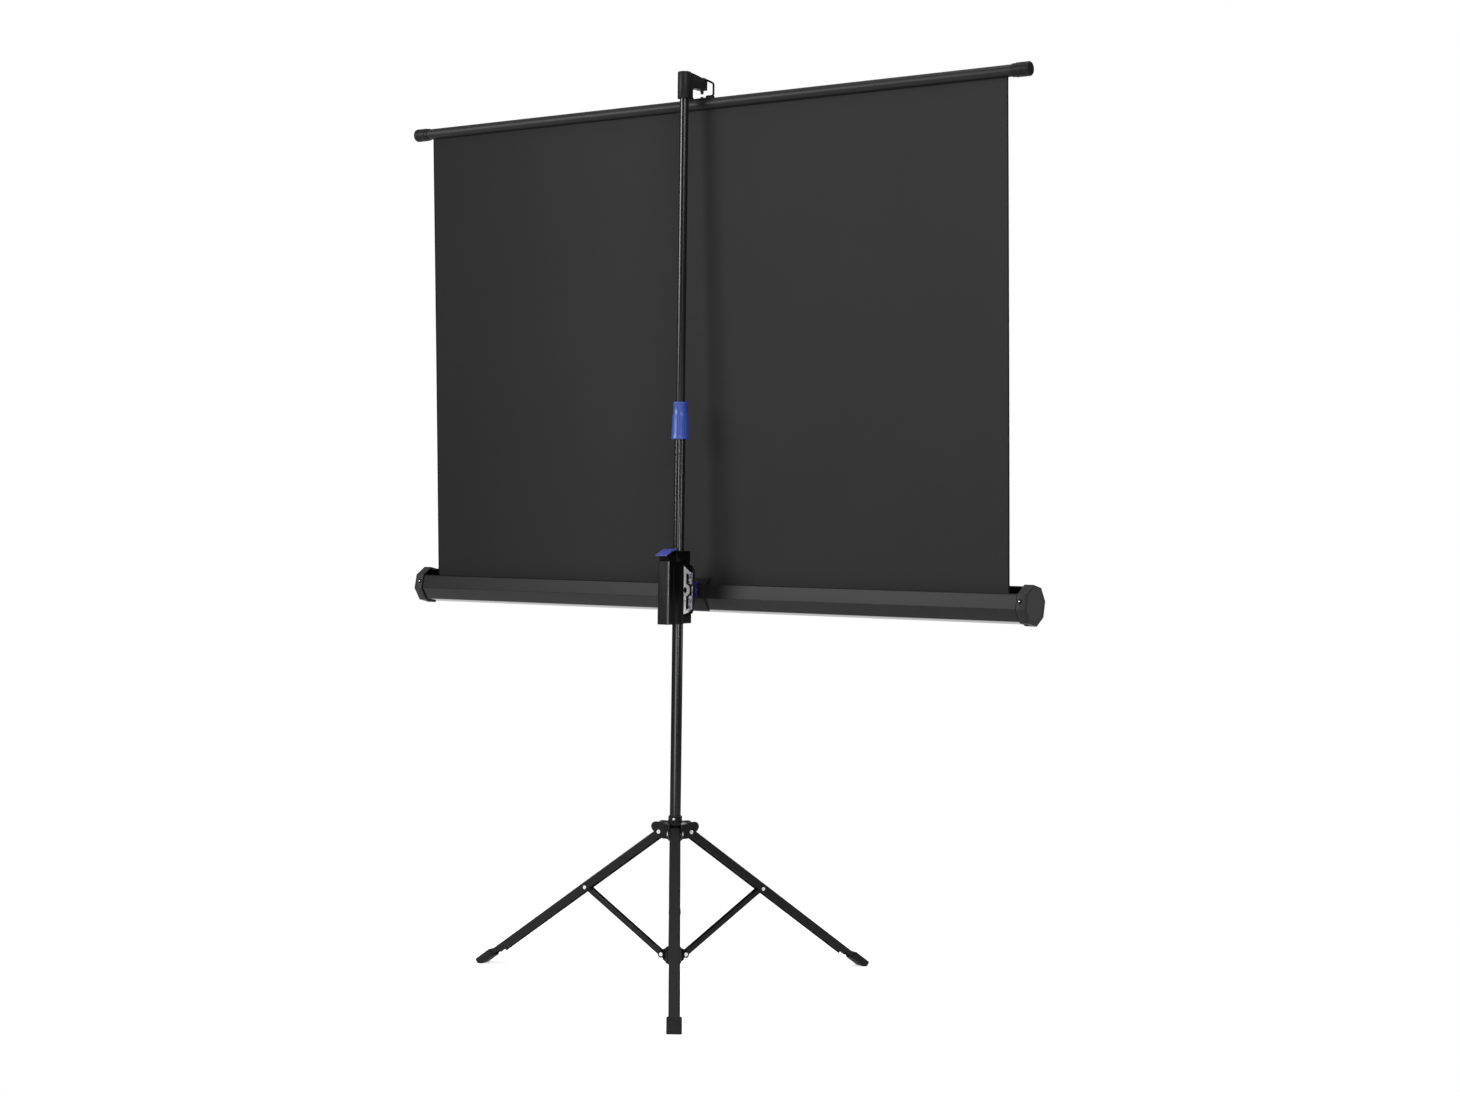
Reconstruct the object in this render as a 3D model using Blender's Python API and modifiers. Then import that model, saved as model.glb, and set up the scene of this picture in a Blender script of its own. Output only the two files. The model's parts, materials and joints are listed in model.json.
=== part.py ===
"""Tripod projector screen, standing with the screen drawn up.

The frame is +Z up, the white side of the screen faces -Y and the screen's
width runs along X. The floor is at Z = 0 and the origin lies under the
middle of the object's bounding box, a little in front of the mast.
"""
import math

import bmesh
import bpy
from mathutils import Matrix, Vector

# Fits
gap = 0.0003
running_gap = 0.0006
overrun = 0.002
weld = 0.00001
round_steps = 28
small_steps = 12
pin_hole_steps = 12

# Heights above the floor
head_top_height = 1.8624
pivot_height = 0.8077
hub_pin_height = 0.3130
foot_pin_height = 0.0612

# Telescopic mast
lower_tube_radius = 0.011
lower_tube_wall = 0.0012
lower_tube_top = 1.15
upper_tube_radius = 0.0091
upper_tube_wall = 0.0010
upper_tube_overlap = 0.14

# Twist lock on the mast
lock_rise = 0.0411
lock_drop = 0.0353
ferrule_wall = 0.0016
ferrule_length = 0.024
collet_length = 0.024
collet_slit = 0.0016
collet_slit_share = 0.75
lock_neck_radius = 0.0151
lock_neck_height = 0.0265
lock_edge = 0.0008
lock_skirt_top_radius = 0.0160
lock_skirt_radius = 0.0180
lock_groove_radius = 0.0013
lock_groove_count = 14

# Tripod legs and braces
leg_azimuths_degrees = (126.97, 6.97, 246.97)
leg_width = 0.022
leg_depth = 0.017
leg_wall = 0.0013
leg_corner = 0.0025
leg_slope_degrees = 54.6
leg_pin_overhang = 0.0078
leg_end_height = 0.0064
leg_end_cut_length = 0.0505
leg_end_depth = 0.0105
hub_pin_reach = 0.0300
mid_rivet_along = 0.2202
mid_rivet_aside = -0.0020
foot_pin_reach = 0.0257
brace_width = 0.0126
brace_depth = 0.0105
brace_wall = 0.0012
brace_corner = 0.0018
brace_overhang = 0.0065
brace_ear_length = 0.029
rivet_shank_radius = 0.0023
hub_rivet_head_radius = 0.0049
mid_rivet_head_radius = 0.0042
foot_rivet_head_radius = 0.0045
rivet_head_height = 0.0015
rivet_dimple_radius = 0.0017
rivet_dimple_share = 1.3
rivet_crown_share = 0.75
rivet_edge_share = 0.33
screw_top_share = 0.6
screw_edge_share = 0.4

# Sliding hub at the top of the legs
hub_ring_radius = 0.0141
hub_ring_rise = 0.0340
hub_ring_length = 0.0132
hub_edge = 0.0012
hub_flange_radius = 0.0262
hub_flange_drop = 0.0022
hub_flange_thickness = 0.0026
hub_core_radius = 0.0168
hub_drop = 0.0180
hub_bottom_chamfer = 0.0045
hub_rib_width = 0.0022
hub_rib_reach = 0.0175
hub_rib_rise = 0.0060
hub_rib_spread_degrees = 20.0
cheek_thickness = 0.0032
cheek_root = 0.009
cheek_reach = 0.0480
cheek_rise = 0.0206
cheek_drop = 0.0132
cheek_corner = 0.0100
cheek_heel_reach = 0.0210
cheek_knee_reach = 0.0440
cheek_knee_rise = 0.0020
lock_screw_azimuth_degrees = 114.0
lock_screw_radius = 0.0016
lock_screw_head_radius = 0.0029
lock_screw_head_height = 0.0018

# Fixed hub at the foot of the mast
foot_hub_radius = 0.0165
foot_hub_height = 0.034
foot_hub_floor = 0.003
foot_hub_edge = 0.002
tongue_radius = 0.0088
tongue_root = 0.0135
notch_flare = 0.0012

# Rubber feet
shoe_wall = 0.0033
shoe_sole = 0.0024
shoe_grip = 0.0300
shoe_toe = 0.0138
shoe_edge = 0.0028

# Head, hook and hanging bar
head_length = 0.0544
head_radius = 0.0139
head_edge = 0.0012
head_turn_degrees = 18.0
head_bore_depth = 0.044
arm_reach = 0.0444
arm_half_width = 0.0088
arm_edge = 0.0012
arm_end_reach = 0.0511
arm_end_drop = 0.0139
arm_end_rounding = 0.0020
arm_depth = 0.0318
arm_arch_reach = 0.0155
arm_arch_fillet = 0.0055
arm_shoulder_reach = 0.006
arm_slope_steps = 7
arm_slope_power_share = 1.75
peg_radius = 0.0029
peg_length = 0.0088
bar_drop = 0.0614
bar_radius = 0.0116
bar_wall = 0.0012
bar_margin = 0.0481
bar_slot = 0.0026
bar_cap_radius = 0.0139
bar_cap_length = 0.0300
bar_cap_step_radius = 0.0130
bar_cap_step_length = 0.0080
bar_cap_rounding = 0.0035
bar_cap_end = 0.004
hanger_half_length = 0.0285
hanger_thickness = 0.0016
hanger_half_angle_degrees = 42.0
hanger_lump_length = 0.0165
hanger_ear_length = 0.0045
hanger_ear_height = 0.0058
hanger_ear_half_width = 0.0042
hanger_nub_radius = 0.0032
hanger_nub_height = 0.0014
bail_wire_radius = 0.0013
bail_half_width = 0.0312
bail_foot_depth = 0.0035
bail_side_height = 0.0240
bail_shoulder_inset = 0.0110
bail_shoulder_rise = 0.0090
bail_top_half_width = 0.0115

# Screen fabric and roller
fabric_width = 1.45
fabric_thickness = 0.0006
fabric_hem_radius = 0.0032
roller_radius = 0.0116
roller_wall = 0.0012
roller_margin = 0.012
roller_flange_radius = 0.0145
roller_flange_length = 0.0025
roller_plug_length = 0.020
roller_pin_radius = 0.0035

# Octagonal case
case_drop = 0.0100
case_back = 0.0889
case_turn_degrees = -0.64
case_radius = 0.0373
case_wall = 0.0012
case_lip = 0.0026
case_margin = 0.0483
cap_radius = 0.03934
cap_skirt = 0.0175
cap_end_thickness = 0.003
cap_edge = 0.0008
cap_bearing_radius = 0.0075
cap_bearing_length = 0.0075
cap_screw_inset = 0.0066
cap_screw_head_radius = 0.0031
cap_screw_head_height = 0.0013
cap_screw_radius = 0.0014
cap_screw_length = 0.0055

# Saddle that holds the case
saddle_half_width = 0.0288
saddle_thickness = 0.0026
saddle_top_share = 0.66
saddle_toe = 0.0040
saddle_boss_radius = 0.0105

# Carriage on the lower mast
carriage_half_width = 0.01425
block_inset_share = 0.999
grip_rise = 0.0595
grip_drop = 0.0694
grip_back = 0.0522
grip_front = 0.0008
grip_flute_radius = 0.0022
grip_flute_places = (0.0142, 0.0347)
grip_edge = 0.0012
block_back = 0.0262
block_front = 0.0218
block_rise = 0.0801
bracket_rise = 0.0490
heel_front = 0.0282
bracket_drop = 0.0490
nose_front = 0.0292
bracket_wall = 0.0015
bracket_window_height = 0.030
bracket_window_width = 0.017
bracket_window_gap = 0.0085
bracket_notch_radius = 0.0045
pivot_plate_thickness = 0.0034
pivot_plate_corner = 0.011
pivot_plate_half_width = 0.0146
pivot_bolt_radius = 0.0040
pivot_bolt_head_radius = 0.0070
pivot_bolt_head_height = 0.0030
pivot_washer_radius = 0.0092
pivot_washer_thickness = 0.003
bolt_bite = 0.006

# Levers
lever_thickness = 0.0030
lever_back = 0.0590
lever_tip_drop = 0.0042
lever_crown_rise = 0.0086
lever_steps = 6
lever_bow_share = 1.6
lever_taper_share = 0.45
lever_pin_radius = 0.0016
lever_pin_back = 0.0205
lever_pin_drop = 0.0046
lever_hub_radius = 0.0036
lever_hub_half_width = 0.0085
catch_width = 0.0060
catch_side = 0.0165
catch_thickness = 0.0052
catch_rise = 0.0169
catch_drop = 0.0165
catch_hook = 0.0046
catch_recess = 0.0020
catch_pin_radius = 0.0014
catch_pin_bite = 0.0030

turn = math.radians
head_bottom_height = head_top_height - head_length
bar_height = head_top_height - bar_drop
lock_top_height = lower_tube_top + lock_rise
lock_bottom_height = lower_tube_top - lock_drop
case_height = pivot_height - case_drop
bar_length = fabric_width + 2 * bar_margin
case_length = fabric_width + 2 * case_margin
grip_top_height = pivot_height + grip_rise
grip_bottom_height = pivot_height - grip_drop
block_top = pivot_height + block_rise
bracket_top = pivot_height + bracket_rise
bracket_bottom = pivot_height - bracket_drop
lever_pin_height = block_top - lever_pin_drop
catch_top = pivot_height + catch_rise
catch_bottom = pivot_height - catch_drop
hub_ring_top = hub_pin_height + hub_ring_rise
hub_ring_bottom = hub_ring_top - hub_ring_length
hub_bottom = hub_pin_height - hub_drop
cheek_top = hub_pin_height + cheek_rise
cheek_bottom = hub_pin_height - cheek_drop
leg_slope = turn(leg_slope_degrees)
leg_length = (hub_pin_height - leg_end_height) / math.cos(leg_slope)
mid_rivet_reach = hub_pin_reach + mid_rivet_along * math.sin(leg_slope) + mid_rivet_aside * math.cos(leg_slope)
mid_rivet_height = hub_pin_height - mid_rivet_along * math.cos(leg_slope) + mid_rivet_aside * math.sin(leg_slope)
foot_reach = hub_pin_reach + (leg_length + shoe_toe) * math.sin(leg_slope)
middle_of_legs = (math.sin(turn(leg_azimuths_degrees[0])) + math.sin(turn(leg_azimuths_degrees[2]))) / 2
mast_y = -foot_reach * middle_of_legs

for old in list(bpy.data.objects):
    bpy.data.objects.remove(old, do_unlink=True)
model = bpy.data.collections.new("tripod_projector_screen")
tools = bpy.data.collections.new("cutters")
for group in (model, tools):
    bpy.context.scene.collection.children.link(group)


def material(name, colour, roughness, metallic):
    made = bpy.data.materials.new(name)
    made.use_nodes = True
    shader = made.node_tree.nodes["Principled BSDF"]
    shader.inputs["Base Color"].default_value = (*colour, 1.0)
    shader.inputs["Roughness"].default_value = roughness
    shader.inputs["Metallic"].default_value = metallic
    return made


black_paint = material("black_paint", (0.022, 0.022, 0.024), 0.32, 0.0)
black_plastic = material("black_plastic", (0.024, 0.024, 0.025), 0.5, 0.0)
case_paint = material("case_paint", (0.045, 0.045, 0.047), 0.42, 0.0)
screen_cloth = material("screen_cloth", (0.035, 0.035, 0.036), 0.85, 0.0)
blue_plastic = material("blue_plastic", (0.035, 0.045, 0.32), 0.35, 0.0)
plated_steel = material("plated_steel", (0.75, 0.75, 0.77), 0.25, 1.0)
black_rubber = material("black_rubber", (0.03, 0.03, 0.03), 0.75, 0.0)


def empty(name, parent, place=(0, 0, 0), rotation=(0, 0, 0)):
    made = bpy.data.objects.new(name, None)
    made.empty_display_size = leg_width
    made.parent = parent
    made.location = place
    made.rotation_euler = rotation
    model.objects.link(made)
    return made


mast = empty("mast_axis", None, (0, mast_y, 0))


def put(made, name, look, parent=mast, place=(0, 0, 0), rotation=(0, 0, 0)):
    """Name an object, give it its material and set it in its parent's frame."""
    made.name = name
    made.parent = parent
    made.location = place
    made.rotation_euler = rotation
    made.data.materials.clear()
    made.data.materials.append(look)
    return made


def link(mesh, group=model):
    made = bpy.data.objects.new(mesh.name, mesh)
    group.objects.link(made)
    return made


def smooth(made, degrees=40.0):
    made.data.shade_smooth()
    made.data.set_sharp_from_angle(angle=turn(degrees))
    return made


def box(low, high, group=model):
    """A box between two opposite corners."""
    low, high = Vector(low), Vector(high)
    form = bmesh.new()
    size = Matrix.Diagonal((*(high - low), 1.0))
    bmesh.ops.create_cube(form, size=1.0, matrix=Matrix.Translation((low + high) / 2) @ size)
    mesh = bpy.data.meshes.new("box")
    form.to_mesh(mesh)
    form.free()
    return link(mesh, group)


axis_turns = {
    "X": Matrix.Rotation(math.pi / 2, 4, "Y"),
    "Y": Matrix.Rotation(-math.pi / 2, 4, "X"),
    "Z": Matrix.Identity(4),
}


def rod(radius, start, length, axis="Z", steps=round_steps, group=model, end_radius=None):
    """A round bar from start along an axis."""
    form = bmesh.new()
    move = Matrix.Translation(Vector(start)) @ axis_turns[axis] @ Matrix.Translation((0, 0, length / 2))
    bmesh.ops.create_cone(
        form, cap_ends=True, segments=steps, radius1=radius,
        radius2=radius if end_radius is None else end_radius, depth=length, matrix=move,
    )
    mesh = bpy.data.meshes.new("rod")
    form.to_mesh(mesh)
    form.free()
    return link(mesh, group)


def turned(profile, steps=round_steps, closed=True, group=model):
    """Turn (radius, height) points round Z; an open profile starts and ends on the axis."""
    form = bmesh.new()
    points = [form.verts.new((radius, 0, height)) for radius, height in profile]
    for first, second in zip(points, points[1:]):
        form.edges.new((first, second))
    if closed:
        form.edges.new((points[-1], points[0]))
    mesh = bpy.data.meshes.new("turned")
    form.to_mesh(mesh)
    form.free()
    made = link(mesh, group)
    screw = made.modifiers.new("turn", "SCREW")
    screw.steps = screw.render_steps = steps
    screw.use_merge_vertices = True
    screw.merge_threshold = weld
    screw.use_normal_calculate = True
    screw.use_smooth_shade = False
    return as_mesh(made)


def as_mesh(made):
    """Replace an object by its evaluated mesh, welded and facing outwards."""
    group = made.users_collection[0]
    graph = bpy.context.evaluated_depsgraph_get()
    mesh = bpy.data.meshes.new_from_object(made.evaluated_get(graph))
    form = bmesh.new()
    form.from_mesh(mesh)
    bmesh.ops.remove_doubles(form, verts=form.verts, dist=weld)
    bmesh.ops.recalc_face_normals(form, faces=form.faces)
    form.to_mesh(mesh)
    form.free()
    done = link(mesh, group)
    done.matrix_world = made.matrix_world
    bpy.data.objects.remove(made, do_unlink=True)
    return done


def extruded(outline, length, axis="Z", group=model):
    """A flat outline of (u, v) points, extruded by length about its own plane.

    Along Z the outline lies in XY. Along X it lies in YZ and along Y in XZ.
    """
    curve = bpy.data.curves.new("outline", "CURVE")
    curve.dimensions = "2D"
    curve.fill_mode = "BOTH"
    curve.extrude = length / 2
    spline = curve.splines.new("POLY")
    spline.points.add(len(outline) - 1)
    for point, (u, v) in zip(spline.points, outline):
        point.co = (u, v, 0, 1)
    spline.use_cyclic_u = True
    made = as_mesh(link(curve, group))
    if axis == "X":
        made.data.transform(Matrix(((0, 0, 1, 0), (1, 0, 0, 0), (0, 1, 0, 0), (0, 0, 0, 1))))
    if axis == "Y":
        made.data.transform(Matrix(((1, 0, 0, 0), (0, 0, -1, 0), (0, 1, 0, 0), (0, 0, 0, 1))))
    return made


def moved(made, step):
    made.data.transform(Matrix.Translation(Vector(step)))
    return made


def combine(made, tool, operation):
    """Cut a tool from a piece, or join it to the piece, and drop the tool."""
    change = made.modifiers.new(operation.lower(), "BOOLEAN")
    change.operation = operation
    change.solver = "EXACT"
    change.object = tool
    tool.hide_render = True
    tool.display_type = "WIRE"
    done = as_mesh(made)
    bpy.data.objects.remove(tool, do_unlink=True)
    return done


def cut(made, *tools_used):
    for tool in tools_used:
        made = combine(made, tool, "DIFFERENCE")
    return made


def join(made, *others):
    for other in others:
        made = combine(made, other, "UNION")
    return made


def bevel(made, width, segments=1, degrees=40.0):
    change = made.modifiers.new("edge", "BEVEL")
    change.width = width
    change.segments = segments
    change.limit_method = "ANGLE"
    change.angle_limit = turn(degrees)
    return as_mesh(made)


def arc(centre, radius, start, end, steps):
    """Points on an arc between two angles in degrees, ends included."""
    points = []
    for step in range(steps + 1):
        angle = turn(start + (end - start) * step / steps)
        points.append((centre[0] + radius * math.cos(angle), centre[1] + radius * math.sin(angle)))
    return points


def strip(path, thickness):
    """The outline of a bent sheet: a path and the same path set off to its left."""
    inner = []
    for place, point in enumerate(path):
        here = Vector(point)
        sides = []
        if place > 0:
            sides.append((here - Vector(path[place - 1])).normalized())
        if place < len(path) - 1:
            sides.append((Vector(path[place + 1]) - here).normalized())
        normals = [Vector((-side.y, side.x)) for side in sides]
        middle = sum(normals, Vector((0, 0))).normalized()
        inner.append(here + middle * thickness / middle.dot(normals[0]))
    return [tuple(point) for point in path] + [tuple(point) for point in reversed(inner)]


def channel(width, depth, wall, corner, length):
    """A U channel along +X from the origin, its web on the +Z side and its width along Y."""
    outer = [(width / 2, -depth / 2)]
    outer += arc((width / 2 - corner, depth / 2 - corner), corner, 0, 90, 3)
    outer += arc((corner - width / 2, depth / 2 - corner), corner, 90, 180, 3)
    outer += [(-width / 2, -depth / 2)]
    bend = corner - wall
    inner = [(wall - width / 2, -depth / 2)]
    inner += arc((corner - width / 2, depth / 2 - corner), bend, 180, 90, 3)
    inner += arc((width / 2 - corner, depth / 2 - corner), bend, 90, 0, 3)
    inner += [(width / 2 - wall, -depth / 2)]
    made = extruded(outer + inner, length, "X")
    return moved(made, (length / 2, 0, 0))


def tube(radius, wall, bottom, top, steps=round_steps):
    return turned([(radius, top), (radius, bottom), (radius - wall, bottom), (radius - wall, top)], steps)


# Mast tubes
foot_hub_bottom = foot_pin_height - foot_hub_height / 2
lower_tube_bottom = foot_hub_bottom + foot_hub_floor + gap
lower_tube = tube(lower_tube_radius, lower_tube_wall, lower_tube_bottom, lower_tube_top)
put(smooth(lower_tube), "mast_lower_tube", black_paint)

upper_tube_bottom = lower_tube_top - upper_tube_overlap
upper_tube_top = head_bottom_height + head_bore_depth - gap
upper_slide = empty("mast_slide", mast, (0, 0, lower_tube_top))
upper_tube = tube(upper_tube_radius, upper_tube_wall, upper_tube_bottom, upper_tube_top)
put(moved(smooth(upper_tube), (0, 0, -lower_tube_top)), "mast_upper_tube", black_paint, upper_slide)

# Twist lock: a ferrule on the lower tube, a slit collet on its end and a nut over both
ferrule_radius = lower_tube_radius + gap + ferrule_wall
ferrule = tube(ferrule_radius, ferrule_wall, lower_tube_top - ferrule_length, lower_tube_top)
put(smooth(ferrule), "lock_ferrule", black_plastic)

collet_bottom = lower_tube_top + gap
collet_bore = upper_tube_radius + gap
collet_radius = lower_tube_radius
collet = turned([
    (collet_radius, collet_bottom + collet_length / 2),
    (collet_radius, collet_bottom),
    (collet_bore, collet_bottom),
    (collet_bore, collet_bottom + collet_length),
    (collet_radius - lower_tube_wall / 2, collet_bottom + collet_length),
])
slit = box(
    (0, -collet_slit / 2, collet_bottom + collet_length * (1 - collet_slit_share)),
    (collet_radius + overrun, collet_slit / 2, collet_bottom + collet_length + overrun), tools,
)
put(smooth(cut(collet, slit)), "lock_collet", black_plastic)

nut_bore = ferrule_radius + gap
nut_step = lower_tube_top + gap
nut_throat = collet_radius + gap
nut_roof = collet_bottom + collet_length + gap
neck_bottom = lock_top_height - lock_neck_height
nut = turned([
    (lock_neck_radius - lock_edge, lock_top_height),
    (lock_neck_radius, lock_top_height - lock_edge),
    (lock_neck_radius, neck_bottom),
    (lock_skirt_top_radius, neck_bottom - lock_edge),
    (lock_skirt_radius, lock_bottom_height + lock_edge),
    (lock_skirt_radius - lock_edge, lock_bottom_height),
    (nut_bore, lock_bottom_height),
    (nut_bore, nut_step),
    (nut_throat, nut_step),
    (nut_throat, nut_roof),
    (collet_bore, nut_roof),
    (collet_bore, lock_top_height),
])
skirt_height = neck_bottom - lock_edge - lock_bottom_height
skirt_lean = math.atan2(lock_skirt_radius - lock_skirt_top_radius, skirt_height)
for groove in range(lock_groove_count):
    flute = rod(lock_groove_radius, (0, 0, -overrun), skirt_height + overrun, "Z", 8, tools)
    flute.data.transform(Matrix.Rotation(-skirt_lean, 4, "Y"))
    flute = moved(flute, (lock_skirt_radius + lock_groove_radius / 2, 0, lock_bottom_height))
    flute.data.transform(Matrix.Rotation(2 * math.pi * (groove + 0.5) / lock_groove_count, 4, "Z"))
    nut = cut(nut, flute)
lock_turn = empty("lock_turn", mast, (0, 0, lock_bottom_height))
put(moved(smooth(nut, 30), (0, 0, -lock_bottom_height)), "lock_nut", blue_plastic, lock_turn)

# Fixed hub: a cup for the mast with three tongues, each notched so that a brace pin can leave downwards
foot_hub_bore = lower_tube_radius + gap
foot_hub_top = foot_hub_bottom + foot_hub_height
foot_hub = turned([
    (0, foot_hub_bottom + foot_hub_floor),
    (foot_hub_bore, foot_hub_bottom + foot_hub_floor),
    (foot_hub_bore, foot_hub_top),
    (foot_hub_radius - foot_hub_edge, foot_hub_top),
    (foot_hub_radius, foot_hub_top - foot_hub_edge),
    (foot_hub_radius, foot_hub_bottom + foot_hub_edge),
    (foot_hub_radius - foot_hub_edge, foot_hub_bottom),
    (0, foot_hub_bottom),
], closed=False)
tongue_thickness = brace_width - 2 * brace_wall - 2 * gap
pin_hole_radius = rivet_shank_radius + gap
for azimuth in leg_azimuths_degrees:
    outline = arc((foot_pin_reach, foot_pin_height), tongue_radius, -80, 80, 10)
    outline += [(tongue_root, foot_hub_top - foot_hub_edge), (tongue_root, foot_hub_bottom + foot_hub_edge)]
    tongue = extruded(outline, tongue_thickness, "Y", tools)
    mouth = pin_hole_radius + notch_flare
    notch = arc((foot_pin_reach, foot_pin_height), pin_hole_radius, 0, 180, 8)
    notch += [
        (foot_pin_reach - mouth, foot_pin_height - tongue_radius - overrun),
        (foot_pin_reach + mouth, foot_pin_height - tongue_radius - overrun),
    ]
    tongue = cut(tongue, extruded(notch, tongue_thickness + overrun, "Y", tools))
    tongue.data.transform(Matrix.Rotation(turn(azimuth), 4, "Z"))
    foot_hub = join(foot_hub, tongue)
put(smooth(foot_hub), "foot_hub", black_plastic)

# Sliding hub: ring, flange and core in one turned form, with three pairs of cheeks
hub_bore = lower_tube_radius + gap
flange_top = hub_ring_bottom - hub_flange_drop
hub = turned([
    (hub_ring_radius - hub_edge, hub_ring_top),
    (hub_ring_radius, hub_ring_top - hub_edge),
    (hub_ring_radius, hub_ring_bottom),
    (hub_flange_radius, flange_top),
    (hub_flange_radius, flange_top - hub_flange_thickness),
    (hub_core_radius, flange_top - 2 * hub_flange_thickness),
    (hub_core_radius, hub_bottom + hub_bottom_chamfer),
    (hub_bore + hub_edge, hub_bottom),
    (hub_bore, hub_bottom),
    (hub_bore, hub_ring_top),
])
cheek_inside = leg_width / 2 + running_gap
cheek_middle = cheek_inside + cheek_thickness / 2
cheek_outside = cheek_inside + cheek_thickness
for azimuth in leg_azimuths_degrees:
    for side in (-1, 1):
        outline = [
            (cheek_root, cheek_bottom), (cheek_heel_reach, cheek_bottom),
            (cheek_knee_reach, hub_pin_height + cheek_knee_rise),
        ]
        outline += arc((cheek_reach - cheek_corner, cheek_top - cheek_corner), cheek_corner, -30, 90, 7)
        outline += [(cheek_root, cheek_top)]
        cheek = extruded(outline, cheek_thickness, "Y", tools)
        hole = rod(
            pin_hole_radius, (hub_pin_reach, -cheek_thickness, hub_pin_height), 2 * cheek_thickness,
            "Y", small_steps, tools,
        )
        cheek = moved(cut(cheek, hole), (0, side * cheek_middle, 0))
        cheek.data.transform(Matrix.Rotation(turn(azimuth), 4, "Z"))
        hub = join(hub, cheek)
    for side in (-1, 0, 1):
        rib = extruded([
            (hub_bore + gap, flange_top - hub_flange_thickness / 2),
            (hub_rib_reach, flange_top - hub_flange_thickness / 2),
            (hub_ring_radius + gap, flange_top + hub_rib_rise),
            (hub_bore + gap, flange_top + hub_rib_rise),
        ], hub_rib_width, "Y", tools)
        rib.data.transform(Matrix.Rotation(turn(azimuth + hub_rib_spread_degrees * side), 4, "Z"))
        hub = join(hub, rib)
screw_height = (hub_ring_top + hub_ring_bottom) / 2
screw_hole = rod(
    lock_screw_radius + gap, (lower_tube_radius, 0, screw_height), hub_ring_radius, "X", small_steps, tools,
)
screw_hole.data.transform(Matrix.Rotation(turn(lock_screw_azimuth_degrees), 4, "Z"))
hub = cut(hub, screw_hole)
hub_slide = empty("hub_slide", mast, (0, 0, hub_pin_height))
put(moved(smooth(hub), (0, 0, -hub_pin_height)), "leg_hub", black_plastic, hub_slide)

screw_head_start = hub_ring_radius + gap
lock_screw = turned([
    (0, screw_head_start + lock_screw_head_height),
    (lock_screw_head_radius * screw_top_share, screw_head_start + lock_screw_head_height),
    (lock_screw_head_radius, screw_head_start + lock_screw_head_height * screw_edge_share),
    (lock_screw_head_radius, screw_head_start),
    (lock_screw_radius, screw_head_start),
    (lock_screw_radius, lower_tube_radius + 2 * gap),
    (0, lower_tube_radius + 2 * gap),
], small_steps, closed=False)
lock_screw.data.transform(axis_turns["X"])
put(
    smooth(lock_screw), "hub_lock_screw", plated_steel, hub_slide,
    (0, 0, screw_height - hub_pin_height), (0, 0, turn(lock_screw_azimuth_degrees)),
)


def rivet(head_radius, half_grip):
    """A tubular rivet across Y, a head on each side of what it holds."""
    outer = half_grip + gap
    return turned([
        (0, outer + rivet_head_height / 2),
        (rivet_dimple_radius, outer + rivet_head_height / 2),
        (rivet_dimple_radius * rivet_dimple_share, outer + rivet_head_height),
        (head_radius * rivet_crown_share, outer + rivet_head_height),
        (head_radius, outer + rivet_head_height * rivet_edge_share),
        (head_radius, outer),
        (rivet_shank_radius, outer),
        (rivet_shank_radius, -outer),
        (head_radius, -outer),
        (head_radius, -outer - rivet_head_height * rivet_edge_share),
        (head_radius * rivet_crown_share, -outer - rivet_head_height),
        (rivet_dimple_radius * rivet_dimple_share, -outer - rivet_head_height),
        (rivet_dimple_radius, -outer - rivet_head_height / 2),
        (0, -outer - rivet_head_height / 2),
    ], small_steps, closed=False)


def across(made):
    made.data.transform(axis_turns["Y"])
    return made


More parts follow.
